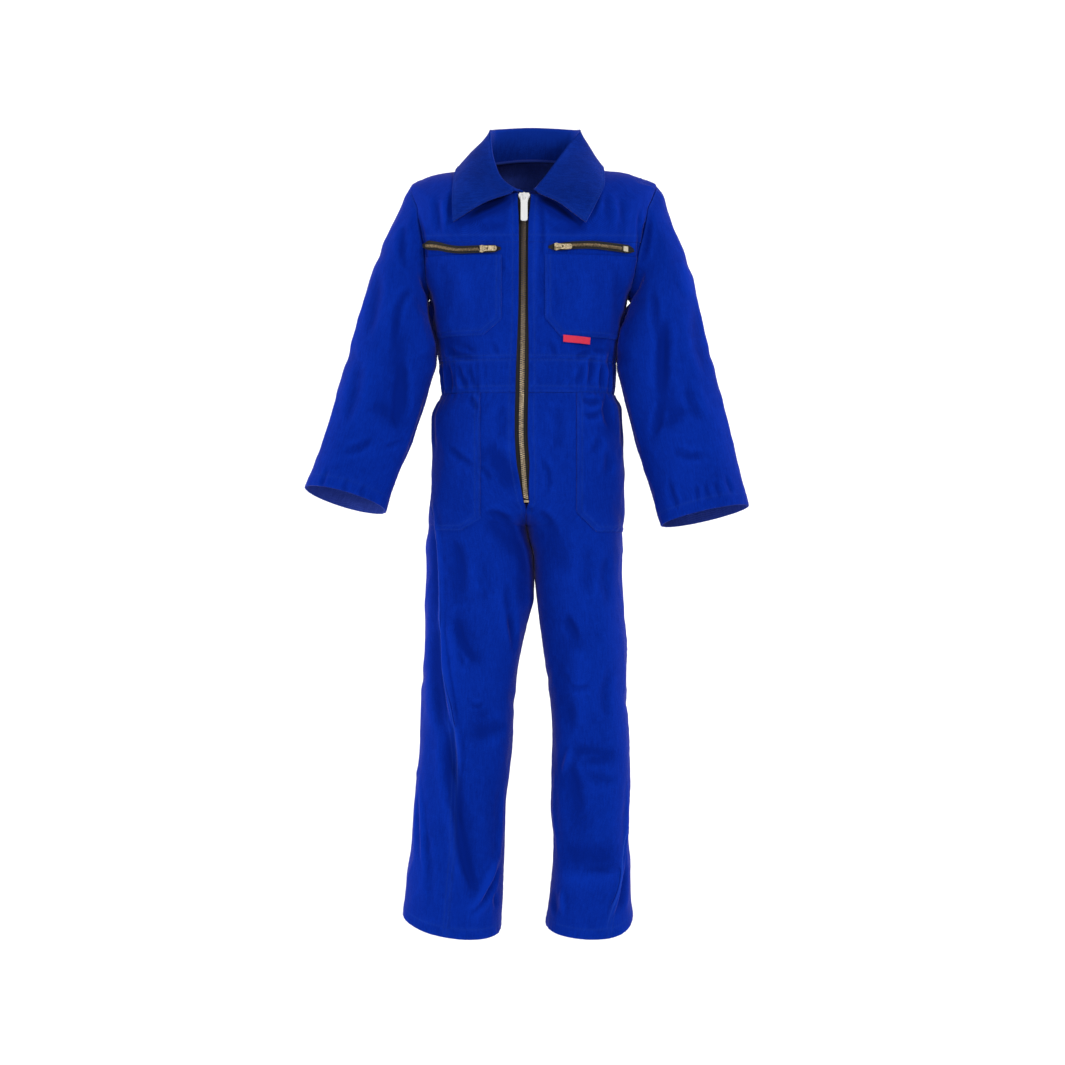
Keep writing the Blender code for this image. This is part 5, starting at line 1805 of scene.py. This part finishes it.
def twill(name, dark, light, pale_edge_colour, bump):
    """Cotton twill: slanting ribs of thread, slubs, a little wear along the edges with a painted highlight
    on a side seam's ridge, and shade painted from the fold attribute.
    """
    new = Finish(name)
    ribs = new.stripes(new.cloth_place(1, 0.62), 0.47, Distortion=1.1, Detail=2.0, **{"Detail Scale": 1.5})
    threads = new.noise(new.cloth_place(3.4, 0.5), 1.0, 2.0)
    place = new.object_place()
    patches = new.noise(place, 17.0, 4.0, 0.6)
    mottle = new.noise(place, 160.0, 3.0)
    slubs = new.noise(new.cloth_place(0.55, 0.07), 1.0, 3.0)
    grain = new.noise(new.cloth_place(0.6, 0.6), 1.0, 2.0)
    fold, abrasion_and_highlight = new.painted("fold"), new.painted("abrasion_and_highlight")
    weave = new.total((ribs, 0.55), (threads, 0.45))
    # Painted shade and light from the fold attribute: darker in troughs, lighter on ridges.
    tone = new.total((weave, 0.26), (patches, 0.12), (mottle, 0.14), (slubs, 0.26), (grain, 0.22),
                     (fold, 0.06))
    cloth_colour = new.mix(new.spread(tone, 0.36, 0.64), dark, light)
    # Painted deep shade: the deepest folds and the chest under the collar turn near black.
    lit = new.spread(fold, *FOLD_DARK, 0.25, 1.0)
    # Paler along edges: wear, and the painted highlight on a side seam's ridge.
    pale_share = new.add("Math", {0: abrasion_and_highlight, 1: new.spread(mottle, 0.0, 1.0, 0.5, 1.3)}, operation="MULTIPLY")
    colour = new.mix(pale_share, new.mix(lit, DEEP_SHADE, cloth_colour), pale_edge_colour)
    coarse = new.bump(mottle, 0.35, 0.4)
    return new.done(Base_Color=colour, Roughness=new.spread(weave, 0, 1, 0.92, 0.78), Specular_IOR_Level=0.02,
                    Sheen_Weight=0.16, Sheen_Roughness=0.3, Sheen_Tint=SHEEN,
                    Normal=new.bump(weave, bump, 0.22, coarse))


def thread(name, dark, light):
    """Sewing thread: two strands twisted round each other."""
    new = Finish(name)
    twist = new.stripes(new.object_place(), 700.0, Distortion=0.5)
    return new.done(Base_Color=new.mix(twist, dark, light), Roughness=0.85, Specular_IOR_Level=0.05,
                    Normal=new.bump(twist, 0.6, 0.08))


def ribbon(name, dark, light, slant):
    """Woven tape or a woven label: close ribs across its length."""
    new = Finish(name)
    ribs = new.stripes(new.cloth_place(1, slant), 0.5, Distortion=0.6, Detail=1.0)
    cross = new.stripes(new.cloth_place(1, 1), 0.6, "Y")
    dust = new.noise(new.cloth_place(0.3, 0.3), 1.0, 3.0)
    weave = new.total((ribs, 0.6), (cross, 0.4))
    colour = new.mix(new.total((weave, 0.6), (dust, 0.4)), dark, light)
    return new.done(Base_Color=colour, Roughness=0.84, Specular_IOR_Level=0.3,
                    Normal=new.bump(weave, 0.6, 0.2))


def metal(name, clean, tarnished, rough, patina, darker_above=None, metallic=1.0):
    """Cast metal: bright where it is rubbed, darker and rougher in cloudy patches, and dark all over
    above a level where that is given."""
    new = Finish(name)
    place = new.object_place()
    cloud = new.noise(place, 420.0, 5.0, 0.65)
    scratch = new.noise(new.add("Mapping", {"Vector": place, "Scale": (2600, 2600, 300)}), 1.0, 3.0)
    colour = new.mix(new.spread(cloud, 0.38, 0.66, 0.0, patina), clean, tarnished)
    # The colour turns darker above a given level.
    if darker_above:
        low, high, dark = darker_above
        level = new.add("SeparateXYZ", {0: place}, 2)
        colour = new.mix(new.spread(level, low, high), colour, dark)
    dull = new.spread(cloud, 0, 1, rough, rough + 0.3)
    return new.done(Base_Color=colour, Metallic=metallic, Roughness=dull,
                    Normal=new.bump(scratch, 0.15, 0.05))


def paper(name, colour):
    """The studio's backdrop: smooth pale paper."""
    new = Finish(name)
    grain = new.noise(new.object_place(), 60.0, 3.0)
    darker = tuple(value * 0.985 for value in colour)
    return new.done(Base_Color=new.mix(grain, darker, colour), Roughness=0.95)


# ---------------------------------------------------------------- studio, in metres
CAMERA = (0.0029, -2.6, -0.4077)
SENSOR = 36.0             # in millimetres
PHOTO_SIDE = 1065
MM_PER_PIXEL = 1.15
FLOOR = -1.16
# The backdrop: its half width, its front edge, where it starts to bend up and its height.
SWEEP = {"half": 5.0, "front": -4.0, "bend": 1.6, "radius": 1.2, "steps": 12, "height": 5.0}
SUIT_MIDDLE = (0, 0, -0.42)
# Each lamp's name, place, size, power and what it is aimed at.
LAMPS = [
    ("key", (1.7, -2.0, 1.0), 0.7, 34, SUIT_MIDDLE),
    ("fill", (-1.7, -2.5, -0.1), 1.2, 13, SUIT_MIDDLE),
    ("front", (0.0, -3.2, 0.35), 1.5, 11, SUIT_MIDDLE),
    ("rim", (-2.4, -0.5, 0.0), 1.0, 14, SUIT_MIDDLE),
    ("backdrop_right", (-1.9, 0.7, 0.8), 1.0, 46, (0.6, 2.8, -0.6)),
    ("backdrop_left", (1.9, 0.7, 0.8), 1.0, 46, (-0.6, 2.8, -0.6)),
]
SKY = 0.3


def make_camera():
    view = bpy.data.cameras.new("camera")
    view.sensor_width = SENSOR
    view.lens = SENSOR * -CAMERA[1] / MM / (PHOTO_SIDE * MM_PER_PIXEL)
    eye = bpy.data.objects.new("camera", view)
    eye.location = CAMERA
    eye.rotation_euler = (math.radians(90), 0, 0)
    bpy.context.scene.collection.objects.link(eye)
    bpy.context.scene.camera = eye


def make_backdrop():
    """A floor that bends up behind the suit."""
    bend, radius = SWEEP["bend"], SWEEP["radius"]
    profile = [(SWEEP["front"], FLOOR)]
    for turn in np.radians(np.linspace(0, 90, SWEEP["steps"] + 1)):
        profile.append((bend + radius * math.sin(turn), FLOOR + radius * (1 - math.cos(turn))))
    profile.append((bend + radius, FLOOR + SWEEP["height"]))
    points = [(x, y, z) for y, z in profile for x in (-SWEEP["half"], SWEEP["half"])]
    faces = [(2 * i, 2 * i + 1, 2 * i + 3, 2 * i + 2) for i in range(len(profile) - 1)]
    look = paper("backdrop_paper", (0.86, 0.865, 0.87))
    new_object("backdrop", np.array(points) / MM, faces, [look])


def make_lights():
    for name, place, size, power, aim in LAMPS:
        light = bpy.data.lights.new(name, "AREA")
        light.shape = "DISK"
        light.size = size
        light.energy = power
        lamp = bpy.data.objects.new(name, light)
        lamp.location = place
        lamp.rotation_euler = (Vector(aim) - Vector(place)).to_track_quat("-Z", "Y").to_euler()
        bpy.context.scene.collection.objects.link(lamp)
    world = bpy.data.worlds.new("studio")
    bpy.context.scene.world = world
    world.use_nodes = True
    background = world.node_tree.nodes["Background"]
    background.inputs["Color"].default_value = (1, 1, 1, 1)
    background.inputs["Strength"].default_value = SKY
    bpy.context.scene.view_settings.view_transform = "Standard"


blue = twill("blue_twill", (0.0007, 0.014, 0.215), (0.002, 0.03, 0.39), (0.02, 0.075, 0.5), 0.55)
# Painted light: the inner faces of the cloth get a lighter copy of the twill, standing in for light inside
# the suit.
blue_inside_lit = twill("blue_twill_inside_lit", (0.016, 0.035, 0.24), (0.04, 0.075, 0.45), (0.04, 0.1, 0.5), 0.5)
collar_blue = twill("collar_twill", (0.0014, 0.0125, 0.15), (0.0036, 0.031, 0.325), (0.02, 0.075, 0.5), 0.75)
blue_thread = thread("blue_thread", (0.002, 0.02, 0.2), (0.006, 0.042, 0.36))
black_tape = ribbon("black_tape", (0.006, 0.006, 0.007), (0.02, 0.019, 0.022), 0.5)
red_label = ribbon("red_weave", (0.55, 0.014, 0.045), (0.85, 0.05, 0.11), 0.3)
old_brass = metal("antique_brass", (0.7, 0.56, 0.38), (0.18, 0.14, 0.09), 0.3, 0.8,
                  (-0.235, -0.12, (0.13, 0.1, 0.075)))
dull_brass = metal("dull_brass", (0.38, 0.28, 0.165), (0.09, 0.066, 0.042), 0.32, 0.8)
# Painted reflection: a white base with little metallic makes the main slider and its pull show white, as a
# mirror of the bright studio would.
nickel = metal("nickel", (1.0, 1.0, 1.0), (0.9, 0.9, 0.89), 0.3, 0.2, metallic=0.25)
cream_nickel = metal("cream_nickel", (0.9, 0.83, 0.66), (0.6, 0.52, 0.38), 0.35, 0.7)
pale_brass = metal("pale_brass", (0.66, 0.54, 0.35), (0.12, 0.09, 0.055), 0.25, 0.95)

cloth = [blue, blue_inside_lit]
make_tapes(black_tape)
make_label(red_label)
make_bodice(cloth)
make_waistband(cloth)
make_trousers(cloth)
make_sleeves(cloth)
make_collar([collar_blue])
make_pockets(cloth)
make_main_teeth(old_brass)
make_chest_teeth(dull_brass)
make_metal(nickel, cream_nickel, old_brass, pale_brass)
make_stitches(blue_thread)
make_camera()
make_backdrop()
make_lights()
